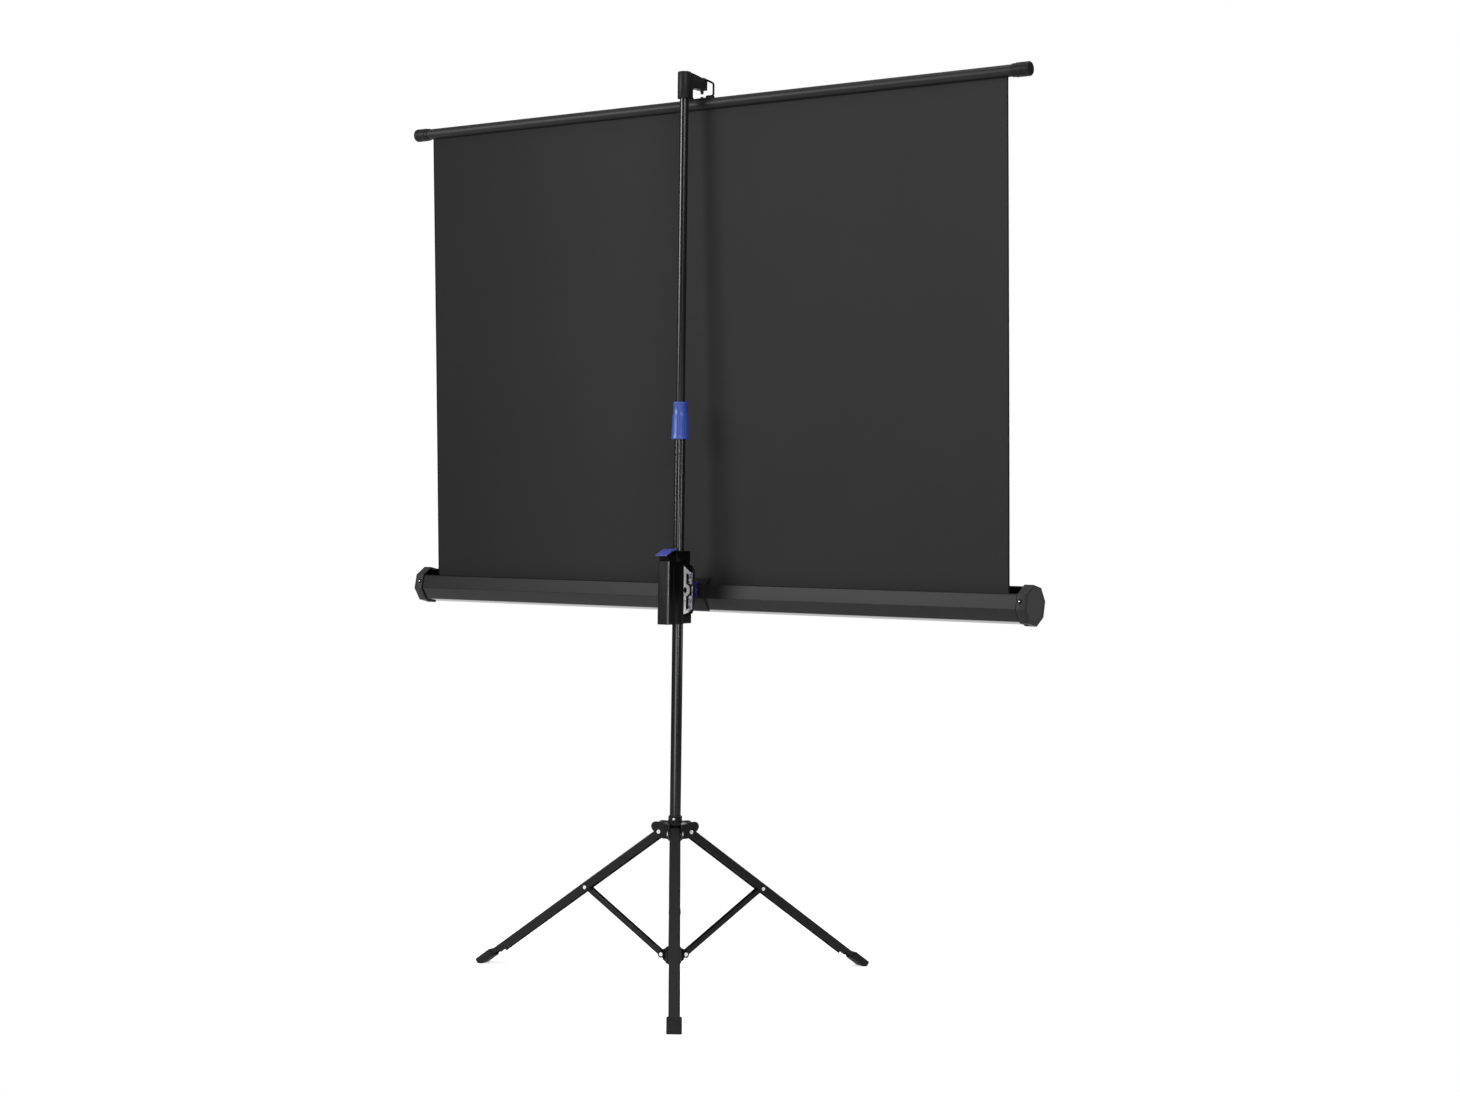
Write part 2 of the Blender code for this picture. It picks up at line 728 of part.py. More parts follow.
# Legs, braces, feet and rivets, each set in its own upright plane
leg_tilt = math.pi / 2 - leg_slope
brace_out = mid_rivet_reach - foot_pin_reach
brace_down = mid_rivet_height - foot_pin_height
brace_length = math.hypot(brace_out, brace_down)
brace_tilt = math.pi - math.atan2(brace_down, brace_out)
shoe_start = leg_length - shoe_grip
leg_end_low = leg_depth / 2 - leg_end_depth
for number, azimuth in enumerate(leg_azimuths_degrees, 1):
    plane = empty(f"leg_plane_{number}", mast, (0, 0, 0), (0, 0, turn(azimuth)))
    pivot = empty(f"leg_pivot_{number}", plane, (hub_pin_reach, 0, hub_pin_height), (0, leg_tilt, 0))
    leg = moved(
        channel(leg_width, leg_depth, leg_wall, leg_corner, leg_length + leg_pin_overhang),
        (-leg_pin_overhang, 0, 0),
    )
    half = leg_width / 2 + overrun
    leg = cut(
        leg,
        rod(pin_hole_radius, (0, -half, 0), 2 * half, "Y", small_steps, tools),
        rod(pin_hole_radius, (mid_rivet_along, -half, mid_rivet_aside), 2 * half, "Y", small_steps, tools),
        box(
            (leg_length - leg_end_cut_length, -half, -leg_depth / 2 - overrun),
            (leg_length + overrun, half, leg_end_low), tools,
        ),
    )
    put(smooth(leg, 35), f"leg_{number}", black_paint, pivot)

    shoe_half = leg_width / 2 + gap + shoe_wall
    shoe = bevel(box(
        (shoe_start, -shoe_half, leg_end_low - gap - shoe_sole),
        (leg_length + shoe_toe, shoe_half, leg_depth / 2 + gap + shoe_wall),
    ), shoe_edge, 2)
    pocket = box(
        (shoe_start - overrun, -leg_width / 2 - gap, leg_end_low - gap),
        (leg_length + gap, leg_width / 2 + gap, leg_depth / 2 + gap), tools,
    )
    shoe = cut(shoe, pocket)
    floor = box(
        (-leg_length, -leg_width, -hub_pin_height - leg_width), (leg_length, leg_width, -hub_pin_height), tools,
    )
    floor.data.transform(Matrix.Rotation(-leg_tilt, 4, "Y"))
    put(smooth(cut(shoe, floor)), f"foot_{number}", black_rubber, pivot)

    knee = empty(
        f"brace_pivot_{number}", plane, (mid_rivet_reach, 0, mid_rivet_height), (0, brace_tilt, 0),
    )
    brace = moved(
        channel(brace_width, brace_depth, brace_wall, brace_corner, brace_length + 2 * brace_overhang),
        (-brace_overhang, 0, 0),
    )
    half = brace_width / 2 + overrun
    brace = cut(
        brace,
        rod(pin_hole_radius, (0, -half, 0), 2 * half, "Y", small_steps, tools),
        rod(pin_hole_radius, (brace_length, -half, 0), 2 * half, "Y", small_steps, tools),
        box(
            (brace_length - brace_ear_length, brace_wall - brace_width / 2, -brace_depth),
            (brace_length + brace_overhang + overrun, brace_width / 2 - brace_wall, brace_depth), tools,
        ),
    )
    put(smooth(brace, 35), f"brace_{number}", black_paint, knee)

    put(smooth(across(rivet(hub_rivet_head_radius, cheek_outside))), f"hub_rivet_{number}", plated_steel, pivot)
    put(
        smooth(across(rivet(mid_rivet_head_radius, leg_width / 2))), f"leg_rivet_{number}", plated_steel,
        pivot, (mid_rivet_along, 0, mid_rivet_aside),
    )
    put(
        smooth(across(rivet(foot_rivet_head_radius, brace_width / 2))), f"foot_rivet_{number}", plated_steel,
        knee, (brace_length, 0, 0),
    )

# Head: a sleeve on the upper tube with a hooked arm, its round end over the bar
head_axis = empty("head_axis", upper_slide, (0, 0, 0), (0, 0, -math.pi / 2 - turn(head_turn_degrees)))
head_bore = upper_tube_radius + gap
bore_roof = head_bottom_height + head_bore_depth
head = turned([
    (0, head_top_height),
    (head_radius - head_edge, head_top_height),
    (head_radius, head_top_height - head_edge),
    (head_radius, head_bottom_height),
    (head_bore, head_bottom_height),
    (head_bore, bore_roof),
    (0, bore_roof),
], closed=False)
arm_root = upper_tube_radius + 2 * gap
arm_start_height = head_top_height - head_edge / 2


def arm_top_height(reach):
    share = (reach - arm_shoulder_reach) / (arm_end_reach - arm_shoulder_reach)
    return arm_start_height - arm_end_drop * share ** arm_slope_power_share


arm_top = []
for step in range(arm_slope_steps + 1):
    reach = arm_root + (arm_end_reach - arm_end_rounding - arm_root) * step / arm_slope_steps
    arm_top.append((reach, arm_top_height(reach)))
arch_roof = head_top_height - arm_depth
end_start = arm_end_reach - arm_end_rounding
arm = extruded(
    arm_top + arc((end_start, arm_top_height(end_start) - arm_end_rounding), arm_end_rounding, 60, 0, 2)
    + arc((end_start, arch_roof + arm_end_rounding), arm_end_rounding, 0, -90, 3)
    + arc((arm_arch_reach + arm_arch_fillet, arch_roof - arm_arch_fillet), arm_arch_fillet, 90, 180, 5)
    + [(arm_arch_reach, head_bottom_height), (arm_root, head_bottom_height)],
    2 * arm_half_width, "Y", tools,
)
peg = rod(
    peg_radius, (arm_reach, 0, arch_roof - peg_length), peg_length + peg_radius, "Z", small_steps, tools,
)
head = join(head, bevel(arm, arm_edge, 1, 60.0), peg)
put(moved(smooth(head, 30), (0, 0, -lower_tube_top)), "mast_head", black_plastic, head_axis)

# Hanging bar under the end of the arm, with its end caps
bar_x = -arm_reach * math.sin(turn(head_turn_degrees))
bar_y = -arm_reach * math.cos(turn(head_turn_degrees))
bar_axis = empty("bar_axis", upper_slide, (0, bar_y, bar_height - lower_tube_top))
slot_angle = math.degrees(math.asin(bar_slot / 2 / bar_radius))
bar_bore = bar_radius - bar_wall
bar_half = bar_length / 2 - bar_cap_end - gap
bar_outline = arc((0, 0), bar_radius, -90 + slot_angle, 270 - slot_angle, round_steps)
bar_outline += arc((0, 0), bar_bore, 270 - slot_angle, -90 + slot_angle, round_steps)
put(smooth(extruded(bar_outline, 2 * bar_half, "X")), "top_bar", black_paint, bar_axis)

cap_bore = bar_radius + gap
cap_foot = bar_cap_length + bar_cap_step_length
for side, name in ((1, "top_bar_cap_left"), (-1, "top_bar_cap_right")):
    profile = [(0, 0)]
    profile += [
        (radius, -depth) for depth, radius in
        [(bar_cap_rounding - y, x) for x, y in arc((bar_cap_radius - bar_cap_rounding, 0), bar_cap_rounding, 90, 0, 4)]
    ]
    profile += [
        (bar_cap_radius, -bar_cap_length),
        (bar_cap_step_radius, -bar_cap_length),
        (bar_cap_step_radius, -cap_foot),
        (cap_bore, -cap_foot),
        (cap_bore, -bar_cap_end),
        (0, -bar_cap_end),
    ]
    cap = turned(profile, closed=False)
    put(
        smooth(cap), name, black_plastic, bar_axis, (side * bar_length / 2, 0, 0),
        (0, side * math.pi / 2, 0),
    )

# Hanger on top of the bar, and the wire bail that hooks over the arm
seat_radius = bar_radius + gap
hanger_top = seat_radius + hanger_thickness
bail_axis_height = hanger_top + bail_wire_radius + gap
arc_start = 90 - hanger_half_angle_degrees
arc_end = 90 + hanger_half_angle_degrees
hanger = extruded(
    arc((0, 0), hanger_top, arc_start, arc_end, 10) + arc((0, 0), seat_radius, arc_end, arc_start, 10),
    2 * hanger_half_length, "X",
)
ear_outline = [(-hanger_ear_half_width, seat_radius)]
ear_outline += arc((0, seat_radius + hanger_ear_height - hanger_ear_half_width), hanger_ear_half_width, 180, 0, 10)
ear_outline += [(hanger_ear_half_width, seat_radius)]
ear_lift = bar_wall / 2
for side, length in ((-1, hanger_lump_length), (1, hanger_ear_length)):
    ear = moved(
        extruded([(y, max(z, seat_radius + ear_lift)) for y, z in ear_outline], length, "X", tools),
        (side * (hanger_half_length - length / 2), 0, 0),
    )
    hanger = join(hanger, ear)
nub = rod(hanger_nub_radius, (0, 0, seat_radius + ear_lift), hanger_thickness + hanger_nub_height, "Z", small_steps, tools)
hanger = join(hanger, nub)
foot_hole = bail_wire_radius + gap
for side in (-1, 1):
    start = side * hanger_half_length - (bail_foot_depth if side > 0 else overrun)
    hole = rod(foot_hole, (start, 0, bail_axis_height), bail_foot_depth + overrun, "X", 12, tools)
    hanger = cut(hanger, hole)
put(smooth(hanger), "bar_hanger", black_plastic, bar_axis, (bar_x, 0, 0))

hook_reach = arm_reach - (arm_half_width + bail_wire_radius) * math.tan(turn(head_turn_degrees))
hook_height = arm_top_height(hook_reach)
wire_top = hook_height + gap + bail_wire_radius - bar_height - bail_axis_height
foot_inner = hanger_half_length - bail_foot_depth + gap
half_path = [
    (foot_inner, 0),
    (bail_half_width - bail_wire_radius, 0),
    (bail_half_width, bail_wire_radius),
    (bail_half_width, bail_side_height - bail_wire_radius),
    (bail_half_width - bail_wire_radius, bail_side_height + bail_wire_radius),
    (bail_half_width - bail_shoulder_inset, bail_side_height + bail_shoulder_rise),
    (bail_top_half_width, wire_top),
]
wire = bpy.data.curves.new("bail", "CURVE")
wire.dimensions = "3D"
wire.bevel_depth = bail_wire_radius
wire.bevel_resolution = 2
wire.use_fill_caps = True
wire_path = half_path + [(-x, z) for x, z in reversed(half_path)]
spline = wire.splines.new("POLY")
spline.points.add(len(wire_path) - 1)
for point, (x, z) in zip(spline.points, wire_path):
    point.co = (x, 0, z, 1)
put(smooth(as_mesh(link(wire))), "bar_bail", black_paint, bar_axis, (bar_x, 0, bail_axis_height))

# Screen fabric: from the roller's back straight up into the bar's slot, with a hem inside the bar
hem_y = bar_y
hem_z = bar_height - (bar_bore - fabric_hem_radius - gap)
wrap_radius = roller_radius + gap + fabric_thickness / 2
run = Vector((hem_y + case_back, hem_z - case_height))
lean = math.atan2(run.x, run.y)
swing = math.asin(wrap_radius / run.length)
tangent = Vector((math.cos(lean - swing), -math.sin(lean - swing))) * wrap_radius
tangent += Vector((-case_back, case_height))
climb = (Vector((hem_y, hem_z)) - tangent).normalized()
aside = Vector((climb.y, -climb.x)) * fabric_thickness / 2
hem = Vector((hem_y, hem_z))
hem_opening = math.degrees(math.asin(fabric_thickness / 2 / fabric_hem_radius))
hem_down = math.degrees(math.atan2(-climb.y, -climb.x))
fabric_outline = [tuple(tangent - aside), tuple(tangent + aside)]
fabric_outline += arc(tuple(hem), fabric_hem_radius, hem_down + hem_opening, hem_down + 360 - hem_opening, 12)
fabric = extruded(fabric_outline, fabric_width, "X")
put(fabric, "screen_fabric", screen_cloth)

# Roller with its end plugs, turning in the case's end caps
case_axis = empty("case_axis", mast, (0, -case_back, case_height))
roller_axis = empty("roller_axis", case_axis)
roller_half = fabric_width / 2 + roller_margin
roller = extruded(
    arc((0, 0), roller_radius, 0, 360 - 360 / round_steps, round_steps - 1), 2 * roller_half, "X",
)
bore = rod(roller_radius - roller_wall, (-roller_half - overrun, 0, 0), 2 * (roller_half + overrun), "X", round_steps, tools)
put(smooth(cut(roller, bore)), "roller_tube", screen_cloth, roller_axis)

cap_inside = case_length / 2 - cap_end_thickness
plug_radius = roller_radius - roller_wall - gap
for side, name in ((1, "roller_plug_left"), (-1, "roller_plug_right")):
    plug = turned([
        (0, cap_inside - gap),
        (roller_pin_radius, cap_inside - gap),
        (roller_pin_radius, roller_half + gap + roller_flange_length),
        (roller_flange_radius, roller_half + gap + roller_flange_length),
        (roller_flange_radius, roller_half + gap),
        (plug_radius, roller_half + gap),
        (plug_radius, roller_half - roller_plug_length),
        (0, roller_half - roller_plug_length),
    ], closed=False)
    put(smooth(plug), name, black_plastic, roller_axis, (0, 0, 0), (0, side * math.pi / 2, 0))


# Octagonal case, open along the facet that the screen leaves by
def corner(number, radius):
    """Corner of the octagon in (y, z); corner 0 is the slot's near edge and the rest follow downwards."""
    angle = turn(case_turn_degrees + 35 - 45 * number)
    return (radius * math.cos(angle), radius * math.sin(angle))


shell_path = [corner(number, case_radius) for number in range(8)]
near_lip = (Vector(shell_path[-1]) - Vector(shell_path[0])).normalized() * case_lip
far_lip = -near_lip
shell_path = (
    [tuple(Vector(shell_path[0]) + near_lip)] + shell_path + [tuple(Vector(shell_path[-1]) + far_lip)]
)
shell_half = cap_inside - gap
shell = extruded(strip(shell_path, -case_wall), 2 * shell_half, "X")
screw_hole_radius = cap_screw_radius + gap
facet = case_radius * math.cos(turn(22.5))
cap_facet = cap_radius * math.cos(turn(22.5))
screw_angles = (case_turn_degrees + 12.5, case_turn_degrees - 77.5)
screw_place = case_length / 2 - cap_skirt - cap_end_thickness + cap_screw_inset


def facet_rod(radius, inner, length, angle, x, steps=12):
    """A round cutter square to a facet of the case."""
    made = rod(radius, (0, inner, 0), length, "Y", steps, tools)
    made.data.transform(Matrix.Rotation(turn(angle), 4, "X"))
    return moved(made, (x, 0, 0))


for side in (-1, 1):
    for angle in screw_angles:
        shell = cut(shell, facet_rod(screw_hole_radius, facet - 2 * case_wall, 4 * case_wall, angle, side * screw_place))
put(shell, "case_shell", case_paint, case_axis)

for side, name in ((1, "case_end_cap_left"), (-1, "case_end_cap_right")):
    octagon = [corner(number, cap_radius) for number in range(8)]
    cap_length = cap_skirt + cap_end_thickness
    cap = moved(extruded(octagon, cap_length, "X"), (side * (case_length - cap_length) / 2, 0, 0))
    cap = bevel(cap, cap_edge, 1, 60.0)
    pocket_radius = case_radius + gap / math.cos(turn(22.5))
    pocket = extruded([corner(number, pocket_radius) for number in range(8)], cap_skirt + overrun, "X", tools)
    cap = cut(cap, moved(pocket, (side * (cap_inside - (cap_skirt + overrun) / 2), 0, 0)))
    start = cap_inside - cap_bearing_length if side > 0 else -cap_inside - cap_end_thickness / 2
    cap = join(cap, rod(cap_bearing_radius, (start, 0, 0), cap_bearing_length + cap_end_thickness / 2, "X", round_steps, tools))
    start = cap_inside - cap_bearing_length - overrun if side > 0 else -cap_inside
    bearing = rod(roller_pin_radius + gap, (start, 0, 0), cap_bearing_length + overrun, "X", round_steps, tools)
    cap = cut(cap, bearing)
    for angle in screw_angles:
        cap = cut(cap, facet_rod(screw_hole_radius, facet - overrun, 3 * overrun, angle, side * screw_place))
    put(cap, name, black_plastic, case_axis)

number = 0
for side in (1, -1):
    for angle in screw_angles:
        number += 1
        head_start = cap_facet + gap
        screw = turned([
            (0, head_start + cap_screw_head_height),
            (cap_screw_head_radius * screw_top_share, head_start + cap_screw_head_height),
            (cap_screw_head_radius, head_start + cap_screw_head_height * screw_edge_share),
            (cap_screw_head_radius, head_start),
            (cap_screw_radius, head_start),
            (cap_screw_radius, head_start - cap_screw_length),
            (0, head_start - cap_screw_length),
        ], small_steps, closed=False)
        put(
            smooth(across(screw)), f"end_cap_screw_{number}", plated_steel, case_axis,
            (side * screw_place, 0, 0), (turn(angle), 0, 0),
        )

# Carriage: a moulded grip, block and nose on the lower tube
carriage = empty("carriage_slide", mast, (0, 0, pivot_height))


def low(z):
    return z - pivot_height


nose_half = carriage_half_width - bracket_wall - gap
body = box(
    (-carriage_half_width, -grip_front, low(grip_bottom_height)),
    (carriage_half_width, grip_back, low(grip_top_height)),
)
body = bevel(body, grip_edge, 2)
inner_half = carriage_half_width * block_inset_share
block = box((-inner_half, -block_front, low(bracket_top + gap)), (inner_half, block_back, low(block_top)), tools)
heel = box((-inner_half, -heel_front, low(grip_bottom_height) + grip_edge), (inner_half, grip_front, low(bracket_bottom - gap)), tools)
nose = box((-nose_half, -nose_front, low(bracket_bottom) - overrun), (nose_half, grip_front, low(bracket_top) + overrun), tools)
body = join(body, bevel(block, grip_edge), bevel(heel, grip_edge), nose)
mast_hole = rod(
    lower_tube_radius + gap, (0, 0, low(grip_bottom_height) - overrun),
    block_top - grip_bottom_height + 2 * overrun, "Z", round_steps, tools,
)
body = cut(body, mast_hole)
flute_length = grip_top_height - grip_bottom_height + 2 * overrun
for side in (-1, 1):
    for place in grip_flute_places:
        flute = rod(
            grip_flute_radius, (side * (carriage_half_width + grip_flute_radius / 3), place, low(grip_bottom_height) - overrun),
            bracket_top - grip_bottom_height, "Z", 10, tools,
        )
        body = cut(body, flute)
lever_slot = box(
    (-lever_hub_half_width - gap, lever_pin_back - lever_hub_radius - running_gap, low(grip_top_height) + gap),
    (lever_hub_half_width + gap, block_back + overrun, low(block_top) + overrun), tools,
)
lever_hole = rod(lever_pin_radius + gap, (-nose_half, lever_pin_back, low(lever_pin_height)), 2 * nose_half, "X", small_steps, tools)
bolt_pocket = rod(
    pivot_bolt_head_radius + gap, (0, -nose_front - overrun, 0), pivot_bolt_head_height + gap + overrun, "Y", round_steps, tools,
)
body = cut(body, lever_slot, lever_hole, bolt_pocket)
put(smooth(body, 25), "carriage_body", black_plastic, carriage)

# Plated bracket clipped round the nose, with windows in both side walls
web_start = nose_front + gap
web_end = web_start + bracket_wall
flange_outer = carriage_half_width
bracket_path = [
    (-flange_outer, -grip_front - gap), (-flange_outer, -web_end), (flange_outer, -web_end), (flange_outer, -grip_front - gap),
]
bracket = extruded(strip(bracket_path, bracket_wall), bracket_top - bracket_bottom, "Z")
window_y = -(grip_front + web_start) / 2
for side in (-1, 1):
    first = bracket_window_gap / 2 + bracket_notch_radius
    start = first if side > 0 else -first - bracket_window_height
    window = box(
        (-flange_outer - overrun, window_y - bracket_window_width / 2, start),
        (flange_outer + overrun, window_y + bracket_window_width / 2, start + bracket_window_height), tools,
    )
    bracket = cut(bracket, window)
bolt_hole_radius = pivot_bolt_radius + gap
bracket = cut(bracket, rod(bolt_hole_radius, (0, -web_end - overrun, 0), 2 * overrun + bracket_wall, "Y", round_steps, tools))
put(bracket, "pivot_bracket", plated_steel, carriage)

# Pivot: washer, chamfered plate and bolt
washer_start = web_end + gap
washer_end = washer_start + pivot_washer_thickness
washer = turned([
    (pivot_washer_radius, pivot_washer_thickness), (pivot_washer_radius, 0), (bolt_hole_radius, 0),
    (bolt_hole_radius, pivot_washer_thickness),
])
put(smooth(moved(across(washer), (0, -washer_end, 0))), "pivot_washer", plated_steel, carriage)

plate_start = washer_end + gap
plate_end = plate_start + pivot_plate_thickness
plate_half_height = (bracket_top - bracket_bottom) / 2
wide, tall, slant = pivot_plate_half_width, plate_half_height, pivot_plate_corner
plate = extruded([
    (wide, slant - tall), (wide, tall - slant), (wide - slant / 2, tall), (slant / 2 - wide, tall),
    (-wide, tall - slant), (-wide, slant - tall), (slant / 2 - wide, -tall), (wide - slant / 2, -tall),
], pivot_plate_thickness, "Y")
plate = moved(plate, (0, -(plate_start + plate_end) / 2, 0))
plate = cut(plate, rod(bolt_hole_radius, (0, -plate_end - overrun, 0), 2 * overrun + pivot_plate_thickness, "Y", round_steps, tools))
put(plate, "pivot_plate", black_paint, carriage)

# Saddle round the back of the case, with the boss that the bolt ends in
boss_start = plate_end + gap
seat = case_radius + gap / math.cos(turn(22.5))
saddle_outer = seat + saddle_thickness / math.cos(turn(22.5))
slot_near, slot_far = Vector(corner(0, seat)), Vector(corner(-1, seat))
bottom_near, bottom_far = Vector(corner(2, seat)), Vector(corner(3, seat))
toe_step = (bottom_far - bottom_near).normalized() * saddle_toe
saddle_path = [
    tuple(slot_near.lerp(slot_far, saddle_top_share)), tuple(slot_near), corner(1, seat), tuple(bottom_near),
    tuple(bottom_near + toe_step),
]
saddle = extruded(strip(saddle_path, saddle_thickness), 2 * saddle_half_width, "X")
saddle = moved(saddle, (0, -case_back, low(case_height)))
boss_end = case_back - seat * math.cos(turn(22.5)) - saddle_thickness / 2
boss_rod = rod(saddle_boss_radius, (0, -boss_end, 0), boss_end - boss_start, "Y", round_steps, tools)
bolt_end = boss_start + bolt_bite
boss_hole = rod(bolt_hole_radius, (0, -bolt_end - gap, 0), bolt_bite + gap + overrun, "Y", round_steps, tools)
pin_y = boss_start + catch_thickness / 2 + gap
pin_hole = rod(
    catch_pin_radius + gap, (-saddle_boss_radius - overrun, -pin_y, 0), catch_pin_bite + overrun + gap, "X", 12, tools,
)
saddle = cut(join(saddle, boss_rod), boss_hole, pin_hole)
put(smooth(saddle, 30), "case_saddle", black_plastic, carriage)

bolt_head_start = nose_front - pivot_bolt_head_height
bolt = turned([
    (0, bolt_end), (pivot_bolt_radius, bolt_end), (pivot_bolt_radius, web_start - gap),
    (pivot_bolt_head_radius, web_start - gap), (pivot_bolt_head_radius, bolt_head_start), (0, bolt_head_start),
], closed=False)
bolt.data.transform(Matrix.Rotation(math.pi / 2, 4, "X"))
put(smooth(bolt), "pivot_bolt", plated_steel, carriage)

# Height lever on top of the grip
lever_pivot = empty("lever_pivot", carriage, (0, lever_pin_back, low(lever_pin_height)))
crown = lever_crown_rise
tip = -lever_tip_drop
reach = lever_back - lever_pin_back
heel_reach = block_back + gap - lever_pin_back
top_line = []
for step in range(lever_steps + 1):
    share = step / lever_steps
    top_line.append((heel_reach + (reach - heel_reach) * share, crown + (tip - crown) * share ** lever_bow_share))
under_line = [(y, z - lever_thickness * (1 - lever_taper_share * y / reach)) for y, z in reversed(top_line)]
lever = extruded(top_line + under_line, 2 * carriage_half_width, "X")
spine = [(0, lever_hub_radius), (heel_reach + gap, crown - lever_thickness / 4), (heel_reach + 3 * running_gap, crown - lever_thickness / 4)]
spine += [(heel_reach + 3 * running_gap, crown - lever_thickness), (heel_reach, crown - lever_thickness - gap), (0, -lever_hub_radius)]
spine += arc((0, 0), lever_hub_radius, 270, 90, 8)[1:-1]
lever = join(lever, extruded(spine, 2 * lever_hub_half_width, "X", tools))
lever = cut(lever, rod(lever_pin_radius + gap, (-nose_half, 0, 0), 2 * nose_half, "X", small_steps, tools))
put(smooth(lever, 30), "height_lever", blue_plastic, lever_pivot)
pin_half = nose_half - gap
put(smooth(rod(lever_pin_radius, (-pin_half, 0, 0), 2 * pin_half, "X", small_steps)), "lever_pin", plated_steel, lever_pivot)

# Catch beside the boss, rocking on its own pin
catch_middle = -catch_side + catch_width / 2
catch_pivot = empty("catch_pivot", carriage, (catch_middle, -pin_y, 0))
face = catch_thickness / 2
catch_outline = [
    (face, low(catch_top) - face), (face, 0), (face - catch_recess, low(catch_bottom)),
    (-face, low(catch_bottom)), (-face - catch_recess / 2, 0), (-face, low(catch_top) - 2 * face),
    (-face - catch_hook, low(catch_top) - face), (-face - catch_hook, low(catch_top)), (face - catch_recess / 2, low(catch_top)),
]
catch = extruded(catch_outline, catch_width, "X")
catch = cut(catch, rod(catch_pin_radius + gap, (-catch_width, 0, 0), 2 * catch_width, "X", 12, tools))
put(smooth(catch, 30), "case_catch", blue_plastic, catch_pivot)
pin_start = -saddle_boss_radius + catch_pin_bite
pin = rod(catch_pin_radius, (-catch_side, 0, 0), pin_start + catch_side, "X", 12)
put(smooth(moved(pin, (-catch_middle, 0, 0))), "catch_pin", plated_steel, catch_pivot)

bpy.context.view_layer.update()
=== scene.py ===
import json
import math
import bmesh
import bpy
from mathutils import Matrix, Vector


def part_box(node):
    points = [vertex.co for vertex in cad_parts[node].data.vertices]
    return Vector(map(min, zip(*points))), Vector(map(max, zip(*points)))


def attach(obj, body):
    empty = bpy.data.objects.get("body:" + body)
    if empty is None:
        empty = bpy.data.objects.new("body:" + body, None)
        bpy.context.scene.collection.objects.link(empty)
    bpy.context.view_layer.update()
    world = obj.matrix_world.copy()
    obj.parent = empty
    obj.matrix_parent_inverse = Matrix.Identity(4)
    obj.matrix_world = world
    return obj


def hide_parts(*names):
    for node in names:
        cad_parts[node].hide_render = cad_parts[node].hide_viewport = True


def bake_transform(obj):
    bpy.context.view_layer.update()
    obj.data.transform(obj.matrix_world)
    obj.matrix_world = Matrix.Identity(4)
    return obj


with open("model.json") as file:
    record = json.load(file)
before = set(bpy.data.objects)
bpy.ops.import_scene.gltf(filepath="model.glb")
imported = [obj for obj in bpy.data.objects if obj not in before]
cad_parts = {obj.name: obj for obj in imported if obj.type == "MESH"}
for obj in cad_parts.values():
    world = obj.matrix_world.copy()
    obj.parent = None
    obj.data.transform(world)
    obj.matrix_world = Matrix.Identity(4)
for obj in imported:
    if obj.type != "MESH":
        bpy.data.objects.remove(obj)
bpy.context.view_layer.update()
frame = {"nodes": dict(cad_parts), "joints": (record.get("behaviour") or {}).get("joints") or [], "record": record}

cad = frame["nodes"]
bodyNodes = frame["record"]["behaviour"]["bodies"]
bodyOf = {node: body for body, members in bodyNodes.items() for node in members}


def middleOf(node):
    low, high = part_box(node)
    return (low + high) / 2


mastAxis = middleOf("mast_lower_tube")
mastAxis.z = 0
barMiddle = middleOf("top_bar")
caseAxis = middleOf("roller_tube")
print("frame loaded:", len(cad), "nodes")


def nodeIn(tree, kind, inputs=None, **settings):
    made = tree.nodes.new(kind)
    for key, value in settings.items():
        setattr(made, key, value)
    for key, value in (inputs or {}).items():
        socket = made.inputs[key]
        if isinstance(value, bpy.types.NodeSocket):
            tree.links.new(value, socket)
        else:
            socket.default_value = value
    return made


def mathIn(tree, operation, *values):
    return nodeIn(tree, "ShaderNodeMath", dict(enumerate(values)), operation=operation).outputs[0]


def remap(tree, value, start, end, low, high, kind="LINEAR"):
    inputs = {"Value": value, "From Min": start, "From Max": end, "To Min": low, "To Max": high}
    return nodeIn(tree, "ShaderNodeMapRange", inputs, interpolation_type=kind).outputs["Result"]


def mixColour(tree, share, first, second):
    inputs = {"Factor": share, 6: first, 7: second}
    return nodeIn(tree, "ShaderNodeMix", inputs, data_type="RGBA").outputs[2]


def scaled(tree, colour, share):
    inputs = {0: colour, "Scale": share}
    return nodeIn(tree, "ShaderNodeVectorMath", inputs, operation="SCALE").outputs["Vector"]


def coordinates(tree, kind):
    return nodeIn(tree, "ShaderNodeTexCoord").outputs[kind]


def alongAxes(tree, vector):
    return nodeIn(tree, "ShaderNodeSeparateXYZ", {"Vector": vector}).outputs


def noise(tree, place, scale, detail, roughness):
    inputs = {"Vector": place, "Scale": scale, "Detail": detail, "Roughness": roughness}
    return nodeIn(tree, "ShaderNodeTexNoise", inputs)


def grey(value):
    return (value, value, value, 1)


def rgba(colour):
    return (*colour, 1)


def newMaterial(name):
    made = bpy.data.materials.new(name)
    made.use_nodes = True
    return made, made.node_tree, made.node_tree.nodes["Principled BSDF"]


